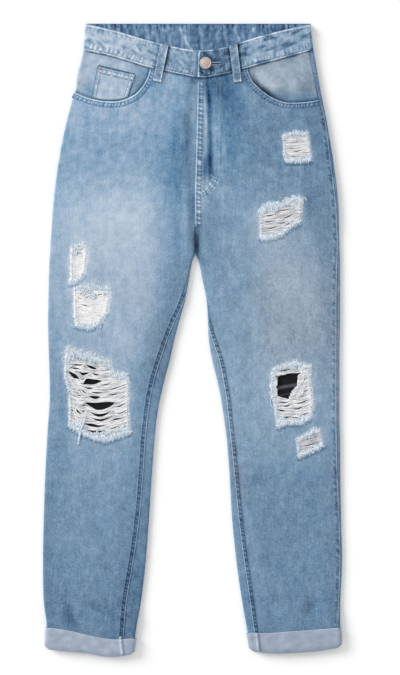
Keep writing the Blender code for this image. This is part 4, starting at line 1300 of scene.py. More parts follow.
class Waistband:
    """The band as one strip: left end, left fold, back, right fold, lower end."""

    EDGE = 0.9

    def __init__(self) -> None:
        """Work out how long each stretch of the strip is."""
        self.left_edge = LEFT.column("outer", BAND_SIDE) - BAND_FOLD
        self.right_edge = RIGHT.column("outer", BAND_SIDE) + BAND_FOLD
        turn = math.pi * BAND_FOLD
        self.lengths = (self.left_edge - BAND_LAP, turn, self.left_edge - self.right_edge,
                        turn, BAND_UNDERLAP - self.right_edge)

    def surface(self, x: float, drop: float) -> float:
        """Give the height of the band's front."""
        return self.upper(x, drop) if x > BAND_LAP else self.under(x, drop)

    def upper(self, x: float, drop: float) -> float:
        """Give the height of the upper end and all that lies level with it."""
        return BAND_TOP + lap_rise(x) + 0.25 * wander(x, drop, 14, 6)

    def tone(self, x: float, drop: float) -> float:
        """Give the tone of the band's front, with painted shadows beside the loops, along the lap's
        edge and round the button.

        Args:
            x, drop: the place.

        Returns:
            The tone.
        """
        tone = read(BAND_TONE_ROWS, BAND_TONE_COLUMNS, "tone", x)
        left = smooth(20, 70, x)
        slanted = streaks(x, drop, 22, 6.0, -20, 34)
        steep = streaks(x, drop, 15, 5.0, 40, 35)
        tone += 0.035 - 0.25 * smooth(0.0, 0.34, slanted) * left
        tone += 0.12 * wander(x, drop, 8, 7) + 0.10 * wander(x, drop, 3.5, 8)
        tone -= 0.14 * smooth(0.02, 0.32, steep) * (1 - left)
        # Painted shadow beside each front loop, darker on its right.
        for top_x, top, low_x, low in FRONT_LOOPS.values():
            off = x - mix(top_x, low_x, (drop - top) / (low - top))
            tone -= (0.36 if off > 0 else 0.2) * bell(abs(off) - 7.8, 1.4)
        # Painted shadow on the lower end, just left of the lap's edge.
        if x < BAND_LAP:
            return tone - 0.16 * bell(x - 5.5, 3.0) * smooth(50, 76, drop)
        # Painted shadow in a ring round the button.
        near_button = math.hypot((x - BUTTON_X - 1) / 1.15, drop - BUTTON_DROP - 1)
        return tone - 0.16 * bell(near_button - 10, 4)

    def put(self, across: float, down: float) -> Spot:
        """Lay one point.

        Args:
            across: its share along the strip.
            down: its share from the upper edge to the seam.

        Returns:
            Its spot.
        """
        run = across * sum(self.lengths)
        part = 0
        while part < 4 and run > self.lengths[part]:
            run -= self.lengths[part]
            part += 1
        rounded = self.EDGE * (smooth(0.94, 1.0, down) + 1 - smooth(0.0, 0.06, down))
        if part in (0, 4):
            side = LEFT if part == 0 else RIGHT
            x = BAND_LAP + run if part == 0 else self.right_edge + run
            near = 1 - smooth(0, 40, abs(x - (self.left_edge if part == 0 else self.right_edge)))
            drop = mix(band_edge("top", x), band_edge("seam", x), down)
            x += near * (side.column("outer", drop) - side.column("outer", BAND_SIDE))
            z = self.upper(x, drop) if part == 0 else self.under(x, drop)
            return Spot(x, drop, z - rounded, self.tone(x, drop))
        if part == 2:
            x = self.left_edge - run
            drop = mix(0.0, BAND_SIDE, down)
            edge = 1 - smooth(0, 1.6, drop)
            tone = 0.45 + 0.20 * streaks(x, drop, 40, 4.2, 84, 9) + 0.13 * wander(x, drop, 6, 10)
            # Painted shade of puckers near the inside band's upper edge; the cloth stays flat here.
            slot = (x / 6.3 + 1.1 * wander(x, 0, 19, 36)) % 1.0 - 0.5
            pucker = 0.35 - 1.3 * bell(slot, 0.2)
            tone += 0.20 * pucker * smooth(0.8, 2.2, drop) * (1 - smooth(5.5, 11, drop))
            for turn, place in ((62, 58), (-62, 96), (60, -24), (-66, 16), (66, 104), (-60, 46)):
                lean = math.tan(math.radians(90 - abs(turn))) * (1 if turn > 0 else -1)
                off = x - place - lean * drop
                tone += 0.14 * bell(off, 1.3) * smooth(2, 8, drop)
            tone += 0.05 * bell(x + 20, 60)
            return Spot(x, drop, SEAT_LIFT + rounded, tone - 0.12 * edge)
        leg = LEFT if part == 1 else RIGHT
        turn = math.pi / 2 - run / BAND_FOLD if part == 1 else run / BAND_FOLD - math.pi / 2
        front = (1 + math.sin(turn)) / 2
        top = front * band_edge("top", self.left_edge if part == 1 else self.right_edge)
        drop = mix(top, BAND_SIDE, down)
        reach = BAND_FOLD - rounded
        x = leg.column("outer", drop) - leg.sign * (BAND_FOLD - reach * math.cos(turn))
        return Spot(x, drop, BAND_MIDDLE + reach * math.sin(turn), self.tone(x, drop) - 0.03)

    def under(self, x: float, drop: float) -> float:
        """Give the height of the lower end, which goes under the upper one."""
        return self.upper(x, drop) - (BAND + GAP) * smooth(-18, 4, x)

    def build(self) -> Piece:
        """Weave the band."""
        return Weave(370, 24, self.put).finish("waistband_shell", "waistband", BAND - 0.2,
                                               [Finishes.BAND, Finishes.INSIDE])


# ---- Seams ----
class Strand(NamedTuple):
    """A line along a seam: its share across, height, tone and share of the puckers."""

    share: float
    lift: float
    tone: float
    pucker: float


@dataclass
class SeamBand:
    """A folded and stitched strip along a seam, drawn up into puckers by its thread."""

    name: str
    path: Outline
    width: float
    strands: Tuple[Strand, ...]
    surface: Surface
    tone: Surface
    pitch: float = 5.5
    step: float = 1.1
    lean: float = 0.3
    depth: float = 0.32
    shade: float = 0.12
    kind: Finishes = Finishes.DENIM
    hold: Surface = lambda x, drop: x
    tint: Surface = lambda x, drop: 0.0

    def build(self) -> Piece:
        """Lay the strip along its path.

        Returns:
            The piece.
        """
        line = trace(self.path, self.step)
        count = len(line) - 1
        seed = float(sum(map(ord, self.name)) % 97)

        def put(across: float, down: float) -> Spot:
            at = min(count, round(down * count))
            strand = self.strands[round(across * (len(self.strands) - 1))]
            x, drop = line[at]
            before, after = line[max(at - 1, 0)], line[min(at + 1, count)]
            run_x, run_d = after[0] - before[0], after[1] - before[1]
            size = math.hypot(run_x, run_d) or 1.0
            side = strand.share * self.width
            x, drop = x - run_d / size * side, drop + run_x / size * side
            x = self.hold(x, drop)
            walked = at * self.step
            phase = walked / self.pitch + 1.1 * wander(walked, seed, 19) + self.lean * strand.share
            slot = phase % 1.0 - 0.5
            pull = 0.34 - 1.5 * bell(slot, 0.19)
            pull *= 0.9 + 0.8 * wander(walked, seed + 5, 8)
            z = self.surface(x, drop) + strand.lift + self.depth * strand.pucker * pull
            tone = self.tone(x, drop) + strand.tone + self.shade * strand.pucker * pull
            tone += 0.03 * wander(walked, seed + strand.share * 7, 4)
            return Spot(x, drop, z, tone, self.tint(x, drop))

        return Weave(len(self.strands) - 1, count, put).finish(
            self.name, "", 0.0, [self.kind], flat=1)


def strand_rows(*rows: Sequence[float]) -> Tuple[Strand, ...]:
    """Name the values of a strip's strands."""
    return tuple(Strand(*row) for row in rows)


# Strips as they lie from their sewn edge outwards.
EDGE_BAND = strand_rows(
    (0, -0.9, 0.02, 0), (0.03, 0.15, 0.16, 0), (0.11, 0.6, 0.22, 0.1), (0.2, 0.35, -0.12, 0.3),
    (0.32, 0.32, -0.1, 0.8), (0.46, 0.4, 0.01, 1.2), (0.6, 0.42, -0.03, 1.6),
    (0.72, 0.4, -0.1, 2.0), (0.82, 0.35, -0.15, 1.7), (0.92, 0.15, -0.12, 0.8),
    (1, -0.25, -0.03, 0),
)
FELL_BAND = strand_rows(
    (0, -0.25, 0.0, 0), (0.07, 0.3, 0.06, 0), (0.15, 0.35, -0.16, 0.4), (0.28, 0.4, -0.2, 0.8),
    (0.42, 0.45, -0.09, 1.4), (0.56, 0.45, -0.12, 1.4), (0.66, 0.4, -0.22, 0.5),
    (0.74, 0.65, 0.14, 0.1), (0.82, 0.55, 0.12, 0.1), (0.9, 0.1, -0.2, 0.2), (1, -0.3, -0.06, 0),
)
OUTSEAM_BAND = strand_rows(
    (0, -0.25, 0.0, 0), (0.12, 0.1, -0.02, 0.9), (0.26, 0.3, -0.05, 2.2), (0.4, 0.35, -0.07, 2.8),
    (0.52, 0.35, -0.08, 2.4), (0.61, 0.3, -0.1, 1.0), (0.66, 0.5, 0.14, 0.2),
    (0.72, 0.55, 0.2, 0.1), (0.77, 0.2, -0.12, 0.2), (1, -0.2, -0.06, 0),
)
LAP_BAND = strand_rows(
    (0, -0.7, -0.2, 0), (0.04, 0.2, 0.16, 0), (0.13, 0.55, 0.27, 0.1), (0.22, 0.35, 0.0, 0.5),
    (0.34, 0.3, -0.12, 2.2), (0.5, 0.4, 0.02, 2.6), (0.66, 0.4, -0.02, 2.2),
    (0.76, 0.2, -0.14, 0.9), (0.88, 0.35, 0.09, 0.4), (1, -0.25, 0.0, 0),
)
CURVED_BAND = strand_rows(
    (0, -0.25, 0.0, 0), (0.16, 0.2, 0.05, 0.6), (0.3, 0.35, 0.14, 1.6), (0.42, 0.25, -0.1, 1.2),
    (0.54, 0.35, 0.12, 1.6), (0.66, 0.25, -0.12, 1.2), (0.8, 0.3, 0.08, 1.2), (1, -0.25, 0.0, 0),
)
BAND_SEAM = strand_rows(
    (0, -1.2, -0.34, 0), (0.05, 0.0, -0.12, 0), (0.1, 0.35, 0.2, 0.1), (0.17, 0.3, 0.1, 0.1),
    (0.22, 0.05, -0.26, 0.3), (0.29, 0.2, -0.03, 1.1), (0.4, 0.32, 0.02, 1.9),
    (0.52, 0.35, 0.01, 2.1), (0.66, 0.32, -0.01, 1.8), (0.82, 0.2, -0.04, 0.9), (1, -0.25, 0.0, 0),
)
BAND_RIM = strand_rows(
    (0, -1.1, 0.04, 0), (0.1, -0.2, 0.18, 0.1), (0.19, 0.15, 0.18, 0.2), (0.28, 0.05, -0.12, 0.6),
    (0.42, 0.2, -0.05, 1.3), (0.6, 0.25, 0.0, 1.3), (0.8, 0.15, 0.0, 0.8), (1, -0.25, 0.0, 0),
)
BAND_END = strand_rows(
    (0, -1.0, 0.05, 0), (0.12, 0.1, 0.32, 0.1), (0.27, 0.35, 0.36, 0.3), (0.4, 0.15, 0.02, 0.6),
    (0.55, 0.05, -0.18, 0.8), (0.75, 0.1, -0.08, 0.6), (1, -0.25, 0.0, 0),
)
# The coin pocket's strip starts outside it, with a dark flange on the facing: painted shadow round
# the pocket.
PATCH_BAND = strand_rows(
    (-0.24, -1.42, -0.04, 0), (-0.13, -1.25, -0.38, 0), (0.0, -0.9, -0.42, 0),
    (0.06, 0.05, -0.26, 0), (0.15, 0.3, 0.1, 0.2), (0.24, 0.1, -0.34, 1.2), (0.36, 0.3, 0.03, 1.5),
    (0.62, 0.3, 0.03, 1.5), (0.76, 0.1, -0.34, 1.2), (0.88, 0.15, 0.02, 0.4), (1, -0.25, 0.0, 0),
)


def away(surface: Surface, rise: float) -> Surface:
    """Raise a surface."""
    return lambda x, drop: surface(x, drop) + rise


# ---- Threads ----
class Threads:
    """Many yarns gathered into one piece."""

    def __init__(self, name: str, tone: Surface, kind: Finishes = Finishes.THREAD) -> None:
        """Start without a yarn.

        Args:
            name: the piece's name.
            tone: gives the tone at a place.
            kind: the yarns' finish.
        """
        self.name = name
        self.tone = tone
        self.kind = kind
        self.lines: List[Tuple[Line, float]] = []

    def add(self, line: Line, radius: float) -> None:
        """Add a yarn."""
        self.lines.append((line, radius))

    def stitches(self, path: Outline, surface: Surface,
                 stitch: float = 3.0, radius: float = 0.32) -> None:
        """Sew a row of stitches.

        Args:
            path: the row's line.
            surface: gives the height that it is sewn to.
            stitch: the length of one stitch with its gap.
            radius: half the thread's thickness.
        """
        places = trace(path, stitch / 5)
        for at in range(0, len(places) - 4, 5):
            line = []
            for step, lift in enumerate((-0.25, 0.3, 0.38, 0.3, -0.25)):
                x, drop = places[at + step]
                line.append((x, drop, surface(x, drop) + lift))
            self.add(line, radius)

    def build(self, slot: str = "white_threads", node: str = "") -> Piece:
        """Make the yarns round and join them into one mesh.

        Args:
            slot: not used.
            node: the solid that it replaces, empty for none.

        Returns:
            The piece.
        """
        curve = bpy.data.curves.new(self.name, "CURVE")
        curve.dimensions = "3D"
        curve.bevel_depth = MM
        curve.bevel_resolution = 0
        for line, radius in self.lines:
            spline = curve.splines.new("POLY")
            spline.points.add(len(line) - 1)
            for point, place in zip(spline.points, line):
                point.co = world(*place).to_4d()
                point.radius = radius
        holder = bpy.data.objects.new(self.name, curve)
        shape = bmesh.new()
        shape.from_mesh(holder.to_mesh())
        holder.to_mesh_clear()
        bpy.data.objects.remove(holder)
        layer = shape.verts.layers.float.new("tone")
        for vert in shape.verts:
            vert[layer] = self.tone(vert.co.x / MM, HALF_LENGTH - vert.co.y / MM)
        return joined(self.name, shape, [self.kind], node)


def yarn_tone(x: float, drop: float) -> float:
    """Give how much lighter or darker than the others a white yarn is."""
    return 0.07 * wander(x * 0.06, drop, 0.9, 11) + 0.09 * wander(x, drop, 9, 12)


def fringe_tone(x: float, drop: float) -> float:
    """Give the tone of the frayed ends, where blue and white yarns mix."""
    return 0.84 + 0.22 * wander(x, drop, 3.6, 13) + 0.12 * wander(x, drop, 1.2, 43)


class Slit(NamedTuple):
    """Where threads stand apart: the line's places from left to right, and half its height."""

    line: Tuple[Point, ...]
    gape: float

    def at(self, x: float) -> float:
        """Give the line's drop at x."""
        return read(self.line, ("x", "drop"), "drop", x)

    def middle(self) -> float:
        """Give the x of the line's middle."""
        return (self.line[0][0] + self.line[-1][0]) / 2


class Tuft(NamedTuple):
    """A bunch of frayed ends: where, how wide, how long, which way, how many, how curly."""

    x: float
    drop: float
    spread: float
    length: float
    turn: float
    count: int
    curl: float


@dataclass
class Rip:
    """One worn opening: its threads, their slits and the frayed ends round it."""

    name: str
    leg: Leg
    tilt: float = 0.0
    sag: float = 0.0
    spacing: float = 0.8
    depth: float = 0.5
    fray: float = 4.5
    tone: float = 0.86
    gaping: float = 1.35
    groove_and_shade: float = 0.42
    slits: Sequence = ()
    tufts: Sequence = ()
    holes: Tuple[Outline, ...] = ()
    bundles: Tuple[Tuple[Outline, int, float, float], ...] = ()

    def __post_init__(self) -> None:
        """Read the outline and name the values of the slits and tufts."""
        self.outline = WORN[self.name]
        self.low_x, self.high_x, self.low_d, self.high_d = extent(self.outline)
        self.dice = random.Random("rip " + self.name)
        self.slits = [Slit(row[:-1], row[-1]) for row in self.slits]
        self.tufts = [Tuft(*row) for row in self.tufts]
        self.levels = [self.level(slit) for slit in self.slits]
        # The yarns are darker between their bundles: painted shade.
        self.weft = Threads("weft_" + self.name, lambda x, drop: (
            self.tone + yarn_tone(x, drop) + self.groove_and_shade * min(0.12, self.bundle(x, drop))))
        self.frayed = Threads("fringe_" + self.name, fringe_tone, Finishes.FRINGE)

    def level(self, slit: Slit) -> float:
        """Find the thread that would run through the middle of a slit.

        Args:
            slit: the slit.

        Returns:
            That thread's own drop.
        """
        x = slit.middle()
        drop = slit.at(x)
        for _ in range(6):
            drop += slit.at(x) - self.bow(x, drop, 0.0)
        return drop

    def bow(self, x: float, drop: float, seed: float) -> float:
        """Give the drop of a thread that starts at a drop, before it is pushed apart.

        Args:
            x: the place across.
            drop: the thread's own drop.
            seed: picks its waver.

        Returns:
            Its drop at x.
        """
        share = (x - self.low_x) / (self.high_x - self.low_x)
        down = (drop - self.low_d) / (self.high_d - self.low_d)
        sag = self.sag * (1 - (2 * share - 1) ** 2) * smooth(-0.05, 0.3, down)
        sag *= 1 - smooth(0.8, 1.05, down)
        return drop + sag - self.tilt * (x - self.low_x) + 0.9 * wander(x, seed, 13, seed)

    def sides(self, drop: float, seed: float) -> List[float]:
        """Tell on which side of each slit a thread lies."""
        return [1.0 if self.bow(slit.middle(), drop, seed) > slit.at(slit.middle()) else -1.0
                for slit in self.slits]

    def push(self, x: float, drop: float, sides: Sequence[float]) -> float:
        """Push a thread away from the slits.

        Args:
            x: the place across.
            drop: its drop without the slits.
            sides: on which side of each slit it lies.

        Returns:
            Its drop beside them.
        """
        at = drop
        for slit, side, level in zip(self.slits, sides, self.levels):
            first, last = slit.line[0][0], slit.line[-1][0]
            past = max(first - x, x - last, 0.0)
            if past > 9:
                continue
            near = min(last, max(first, x))
            share = (near - first) / (last - first)
            half = self.gaping * slit.gape * max(0.0, math.sin(math.pi * share)) ** 0.8
            off = max(0.0, side * (drop - self.bow(x, level, 0.0)))
            course = slit.at(near) - self.bow(near, level, 0.0)
            at += course * bell(past, 4) * math.exp(-off / 4)
            at += side * half * math.exp(-off / (1.6 * half + 0.8))
        return at

    def stretch_all(self) -> None:
        """Stretch the threads that are left across the opening, in two layers."""
        for layer in (0, 1):
            drop = self.low_d + layer * 0.5 - 2.0
            drop += min(0.0, self.tilt * (self.high_x - self.low_x))
            end = self.high_d + 2.0 + max(0.0, self.tilt * (self.high_x - self.low_x))
            while drop < end:
                drop += self.spacing * self.dice.uniform(0.7, 1.3) * (1 + 0.4 * layer)
                self.stretch(drop, layer)

    def stretch(self, drop: float, layer: int) -> None:
        """Stretch one thread across the opening, in as many lengths as are left of it.

        Args:
            drop: its own drop.
            layer: 0 for the upper threads and 1 for the lower.
        """
        seed = drop + 31 * layer
        step = 2.1
        count = int((self.high_x - self.low_x + 4) / step)
        stay: List[Point] = []
        sides = self.sides(drop, seed)
        for i in range(count + 2):
            x = self.low_x - 2 + i * step
            at = self.bow(x, drop, seed)
            there = i <= count and inside(self.outline, x, at)
            there = there and not any(inside(hole, x, at) for hole in self.holes)
            if there:
                stay.append((x, self.push(x, at, sides)))
                continue
            if len(stay) > 1:
                self.length(stay, layer)
            stay = []

    def run_on(self, x: float, drop: float) -> float:
        """Draw how far a thread runs on past its end: a stub at a hole, more on the denim."""
        at_hole = any(inside(hole, x, drop) for hole in self.holes)
        return self.dice.uniform(*((0.1, 0.9) if at_hole else (1.6, 4.2)))

    def length(self, stay: List[Point], layer: int) -> None:
        """Lay one length of a thread, with its ends on the denim.

        Args:
            stay: its places in the opening.
            layer: 0 for the upper threads and 1 for the lower.
        """
        first, last = stay[0], stay[-1]
        before = self.run_on(first[0] - 2.0, first[1])
        after = self.run_on(last[0] + 2.0, last[1])
        places = [(first[0] - before, first[1]), (first[0] - before / 2, first[1])] + stay
        places += [(last[0] + after / 2, last[1]), (last[0] + after, last[1])]
        line: Line = []
        for i, (x, drop) in enumerate(places):
            ends = min(i, len(places) - 1 - i)
            share = i / (len(places) - 1)
            lift = (-0.5, 0.15, 0.12, 0.05)[ends] if ends < 4 else (
                -self.depth * math.sin(math.pi * share) + 0.3 * wander(x, drop, 7, 14)
                + 1.9 * self.groove_and_shade * self.bundle(x, drop))
            line.append((x, drop, self.leg.front(x, drop) + lift - 0.45 * layer))
        self.weft.add(line, self.dice.uniform(0.36, 0.60))

    def bundle(self, x: float, drop: float) -> float:
        """Tell how the threads lie together in bundles."""
        level = 2 * drop - self.bow(x, drop, 0.0)
        return wander(x * 0.12, level, 2.1, 40)

    def hair(self, x: float, drop: float, turn: float, length: float, curl: float,
             radius: float) -> None:
        """Lay one frayed end on the denim.

        Args:
            x: where it starts, across.
            drop: where it starts, down.
            turn: its direction, 0 to the right and a quarter turn down.
            length: its length.
            curl: how far it turns along its length.
            radius: half its thickness.
        """
        line: Line = []
        steps = 6
        for i in range(steps):
            share = i / (steps - 1)
            lift = -0.4 + 1.2 * math.sin(math.pi * min(1.0, share * 0.8 + 0.08))
            line.append((x, drop, self.leg.front(x, drop) + lift))
            x += math.cos(turn) * length / steps
            drop += math.sin(turn) * length / steps
            turn += curl / steps
        self.frayed.add(line, radius)

    def fringe(self) -> None:
        """Fray the whole edge, most where the lengthwise yarns were cut."""
        line = trace(self.outline, 1.15, closed=True)
        dice = self.dice
        middle_x = (self.low_x + self.high_x) / 2
        middle_d = (self.low_d + self.high_d) / 2
        for i, (x, drop) in enumerate(line):
            nx, nd = line[(i + 1) % len(line)]
            out_x, out_d = nd - drop, x - nx
            size = math.hypot(out_x, out_d) or 1.0
            out_x, out_d = out_x / size, out_d / size
            if out_x * (x - middle_x) + out_d * (drop - middle_d) < 0:
                out_x, out_d = -out_x, -out_d
            crosswise = abs(out_d)
            clump = 0.5 + 0.5 * math.sin(math.tau * i / 4.3 + 2 * wander(x, drop, 6, 15))
            count = 5 if crosswise > 0.45 else 2
            for _ in range(count):
                if dice.random() > 0.45 + 0.5 * clump:
                    continue
                turn = math.atan2(out_d, out_x) + dice.gauss(0, 0.35)
                length = 0.4 + self.fray * crosswise * (0.35 + 0.8 * clump)
                length *= dice.uniform(0.7, 1.3)
                curl = dice.choice((-1, 1)) * (dice.uniform(3.5, 7) if dice.random() < 0.45
                                               else dice.uniform(0, 1.8))
                start = dice.uniform(0.6, 2.6) + 0.65 * self.fray * crosswise
                self.hair(x - out_x * start, drop - out_d * start, turn, length + start, curl,
                          dice.uniform(0.24, 0.45))
        for tuft in self.tufts:
            turn = math.radians(tuft.turn)
            back = 0.75 * tuft.length
            for _ in range(tuft.count):
                self.hair(tuft.x + dice.gauss(0, tuft.spread / 2.3) - back * math.cos(turn),
                          tuft.drop + dice.gauss(0, tuft.spread / 4) - back * math.sin(turn),
                          turn + dice.gauss(0, 0.5), tuft.length * dice.uniform(0.7, 1.2),
                          dice.choice((-1, 1)) * dice.uniform(0.6, 1.2) * tuft.curl,
                          dice.uniform(0.3, 0.55))

    def bunches(self) -> None:
        """Lay bundles of loose yarns, which join the frayed ends where they lie on the denim."""
        for path, count, spread, lift in self.bundles:
            for _ in range(count):
                aside = self.dice.gauss(0, spread / 2)
                seed = self.dice.uniform(0, 90)
                line: Line = []
                for x, drop in trace(path, 2.2):
                    x += aside * 0.9 + 1.3 * wander(x, drop, 8, seed)
                    drop += aside * 0.5 + 0.8 * wander(x, drop, 8, seed + 3)
                    rise = lift + 0.5 * wander(x, drop, 5, seed + 6)
                    line.append((x, drop, self.leg.front(x, drop) + rise))
                (self.frayed if lift > 0.9 else self.weft).add(
                    line, self.dice.uniform(0.38, 0.55))

    def build(self) -> List[Piece]:
        """Make the threads and the frayed edge.

        Returns:
            Both pieces.
        """
        self.stretch_all()
        self.bunches()
        self.fringe()
        return [self.weft.build(node="threads_" + self.name), self.frayed.build()]


RIP_LIST = (
    Rip("thigh_upper_right", RIGHT, sag=0.5, spacing=0.62, fray=3.5, tilt=0.05, tone=0.93,
        gaping=1.4, groove_and_shade=0.06, slits=(
        ((-176, 344), (-171, 344.5), (-165, 343), 0.45), ((-174, 366), (-168, 366.5), 0.3),
    ), tufts=(
        (-182, 342, 5, 9, 200, 26, 5.5), (-162, 330, 4, 9, 285, 26, 3.0),
        (-172, 334, 6, 6, 270, 20, 4.0), (-179, 389, 5, 6, 110, 26, 2.5),
    )),
    Rip("thigh_right", RIGHT, sag=1.0, spacing=0.62, fray=4.0, tilt=0.02, tone=0.93, gaping=1.3,
        groove_and_shade=0.06, slits=(
        ((-168, 420.5), (-161, 422), (-152, 425), 0.8),
        ((-149, 407), (-140, 406.5), (-131, 404.5), 0.6),
        ((-161, 412.5), (-157, 409.5), (-153, 406.5), 0.9), ((-173, 411), (-162, 412.5), 0.5),
        ((-166, 429), (-156, 430.5), (-147, 430), 0.4),
    ), tufts=(
        (-152, 408, 5, 9, 210, 12, 2.0), (-128, 400, 5, 7, 300, 26, 4.0),
        (-160, 396, 12, 7, 270, 34, 3.0), (-145, 455, 12, 6, 80, 40, 2.5),
    )),
    Rip("knee_right", RIGHT, sag=10.0, spacing=0.85, depth=0.8, fray=6.0, tone=0.87, gaping=1.55,
        slits=(
        ((-184, 509.5), (-174, 511.5), (-163, 511), 0.8),
        ((-184, 515), (-176, 517.5), (-166, 518.5), 0.9),
        ((-160, 511), (-152, 515.5), (-143, 518), 1.5),
        ((-172, 521), (-163, 524.5), (-153, 526), 1.3),
        ((-152, 523.5), (-146, 526), (-138, 526), 1.0),
        ((-174, 529), (-163, 534), (-150, 537), (-134, 535), 3.0),
        ((-188, 519), (-181, 525), (-173, 533), (-165, 542), 2.6),
        ((-164, 541), (-156, 544.5), (-146, 545), 1.0),
        ((-141, 541), (-131, 541.5), (-119, 537.5), 0.7),
        ((-168, 546), (-163, 551), (-158, 555), 1.0),
        ((-154, 551.5), (-144, 554.5), (-132, 553.5), 0.9),
        ((-128, 549), (-117, 547), (-104, 541.5), 0.75),
        ((-156, 559), (-146, 561.5), (-136, 561), 1.7),
        ((-130, 558), (-118, 556), (-103, 549.5), 0.75),
        ((-162, 567), (-152, 571.5), (-142, 573.5), (-130, 572), (-114, 567), 3.9),
        ((-112, 564), (-106, 561), (-99, 557), 0.6),
        ((-158, 579), (-146, 584.6), (-131, 584), (-119, 579), 1.7),
        ((-117, 577), (-109, 573.5), (-100, 568), 0.8),
        ((-180, 572), (-172, 580), (-163, 588.5), 1.4),
        ((-157, 588), (-146, 592.5), (-133, 592.5), (-116, 587), 1.2),
        ((-113, 586), (-106, 583), (-99, 578), 0.6),
        ((-167, 596), (-155, 601), (-141, 602), (-128, 599.5), 1.6),
        ((-125, 597), (-114, 593.5), (-102, 588), 0.65),
        ((-160, 607), (-147, 611.5), (-132, 609.5), 1.2),
        ((-126, 607.5), (-115, 605), (-104, 600), 0.55),
        ((-184, 548), (-178, 556), (-171, 562), 0.8),
    ), tufts=(
        (-183, 489, 11, 10, 270, 80, 6.0), (-186, 500, 6, 7, 200, 26, 5.0),
        (-163, 496, 8, 6, 280, 26, 5.0), (-148, 498, 10, 9, 275, 60, 5.5),
        (-126, 512, 5, 6, 320, 20, 4.0), (-99, 526, 9, 8, 330, 60, 5.0),
        (-112, 524, 8, 6, 280, 26, 4.0), (-187, 512, 5, 6, 190, 18, 3.0),
        (-174, 604, 9, 8, 110, 44, 4.5), (-104, 612, 10, 8, 60, 50, 4.0),
        (-135, 620, 14, 7, 90, 60, 4.0),
    ), bundles=(
        (((-161, 592), (-166, 604), (-169, 618), (-171.5, 630)), 9, 1.1, 1.2),
        (((-184, 528), (-176, 545), (-166, 556)), 6, 2.0, -0.3),
        (((-181, 545), (-176, 575), (-170, 600)), 5, 3.0, -0.2),
    )),
    Rip("hip_left", LEFT, sag=1.0, spacing=0.8, tilt=0.07, fray=4.0, tone=0.83, gaping=1.7,
        groove_and_shade=0.36, slits=(
        ((138, 178), (150, 178.5), (165, 176), 0.35),
        ((150, 192.5), (158, 191.5), (167, 188.5), 0.8), ((140, 186.5), (152, 187), 0.4),
        ((148, 199.5), (158, 200.5), 0.4),
    ), tufts=(
        (160, 164, 9, 5, 270, 20, 4.0), (172, 206, 5, 5, 60, 16, 1.5),
        (148, 207, 6, 4, 100, 14, 2.0),
    )),
    Rip("thigh_left", LEFT, sag=1.5, spacing=0.85, tilt=0.17, fray=5.0, tone=0.81, gaping=1.5,
        groove_and_shade=0.38, slits=(
        ((109, 288), (116, 288), (124, 285.5), 0.7), ((130, 292), (142, 290), (156, 284), 0.9),
        ((104, 296), (112, 297), (122, 295), 0.8), ((122, 300), (135, 299), (150, 293), 0.7),
        ((106, 306), (118, 307), (130, 304), 0.8), ((132, 303), (146, 300), (158, 295), 0.6),
        ((128, 281), (140, 279.5), (152, 275), 0.5),
    ), tufts=(
        (104, 274, 5, 12, 255, 34, 6.0), (120, 268, 6, 12, 262, 44, 6.0),
        (142, 261, 8, 9, 262, 50, 5.5), (160, 258, 7, 10, 275, 50, 6.0),
        (132, 270, 5, 6, 270, 24, 5.0), (104, 323, 5, 11, 118, 26, 2.0),
    )),
    Rip("knee_left", LEFT, sag=3.0, spacing=0.85, tilt=0.10, depth=0.7, fray=5.0, tone=0.86,
        gaping=1.4, slits=(
        ((126, 520.5), (136, 520), (148, 517.5), 0.8),
        ((128, 566.5), (138, 568), (148, 566), 0.8),
        ((134, 572.5), (141, 573), (150, 570.5), 1.0), ((122, 577), (133, 580), (144, 580), 0.9),
        ((147, 578.5), (158, 577), (170, 572), 0.9), ((154, 569), (163, 568), (173, 563.5), 0.9),
        ((126, 587), (138, 590), (152, 588), 0.9), ((154, 592), (163, 588.5), (173, 582), 1.3),
        ((162, 552), (168, 551), (175, 547.5), 0.9), ((160, 536), (166, 534), (174, 529), 1.0),
        ((159, 544), (165, 543), (172, 539), 0.9),
    ), holes=((
        (126, 528.5), (140, 525.5), (156, 523.5), (166, 521.5), (160, 529), (156, 535),
        (156, 543), (150, 549), (146, 556), (144, 562.5), (135, 560.5), (126, 558), (128, 551),
        (125, 545), (128, 538)),
    ), bundles=(
        (((171, 519), (164, 530), (158, 544), (150, 558), (143, 566)), 10, 2.4, 0.1),
        (((176, 524), (171, 536), (164, 548), (156, 562)), 10, 3.4, 0.2),
        (((166, 523), (160, 528), (161, 536), (168, 541)), 6, 2.0, 0.5),
        (((158, 540), (165, 545), (166, 553), (159, 558)), 6, 2.0, 0.5),
        (((122, 556), (117.5, 563), (118.5, 572), (124, 578)), 1, 0.2, 1.0),
    ), tufts=(
        (124, 533, 3, 4, 0, 10, 5.0), (124, 547, 3, 4, 10, 10, 5.0),
        (118, 526, 5, 6, 200, 26, 5.0), (118, 545, 6, 6, 180, 26, 5.0),
        (131, 599, 6, 10, 105, 50, 4.0), (168, 594, 9, 7, 80, 44, 4.5),
        (150, 509, 10, 7, 275, 46, 4.5), (173, 513, 7, 7, 0, 36, 4.5),
        (177, 528, 5, 6, 0, 20, 4.5),
    )),
    Rip("shin_left", LEFT, sag=1.0, spacing=0.85, tilt=0.10, fray=5.0, tone=0.68, groove_and_shade=0.3,
        slits=(
        ((165, 624), (172, 623), (180, 619), 0.4), ((163, 632), (175, 631), (188, 626), 0.4),
    ), tufts=(
        (176, 612, 9, 6, 270, 36, 4.5), (164, 646, 6, 6, 110, 26, 1.5),
        (184, 638, 8, 5, 80, 24, 1.5),
    )),
)


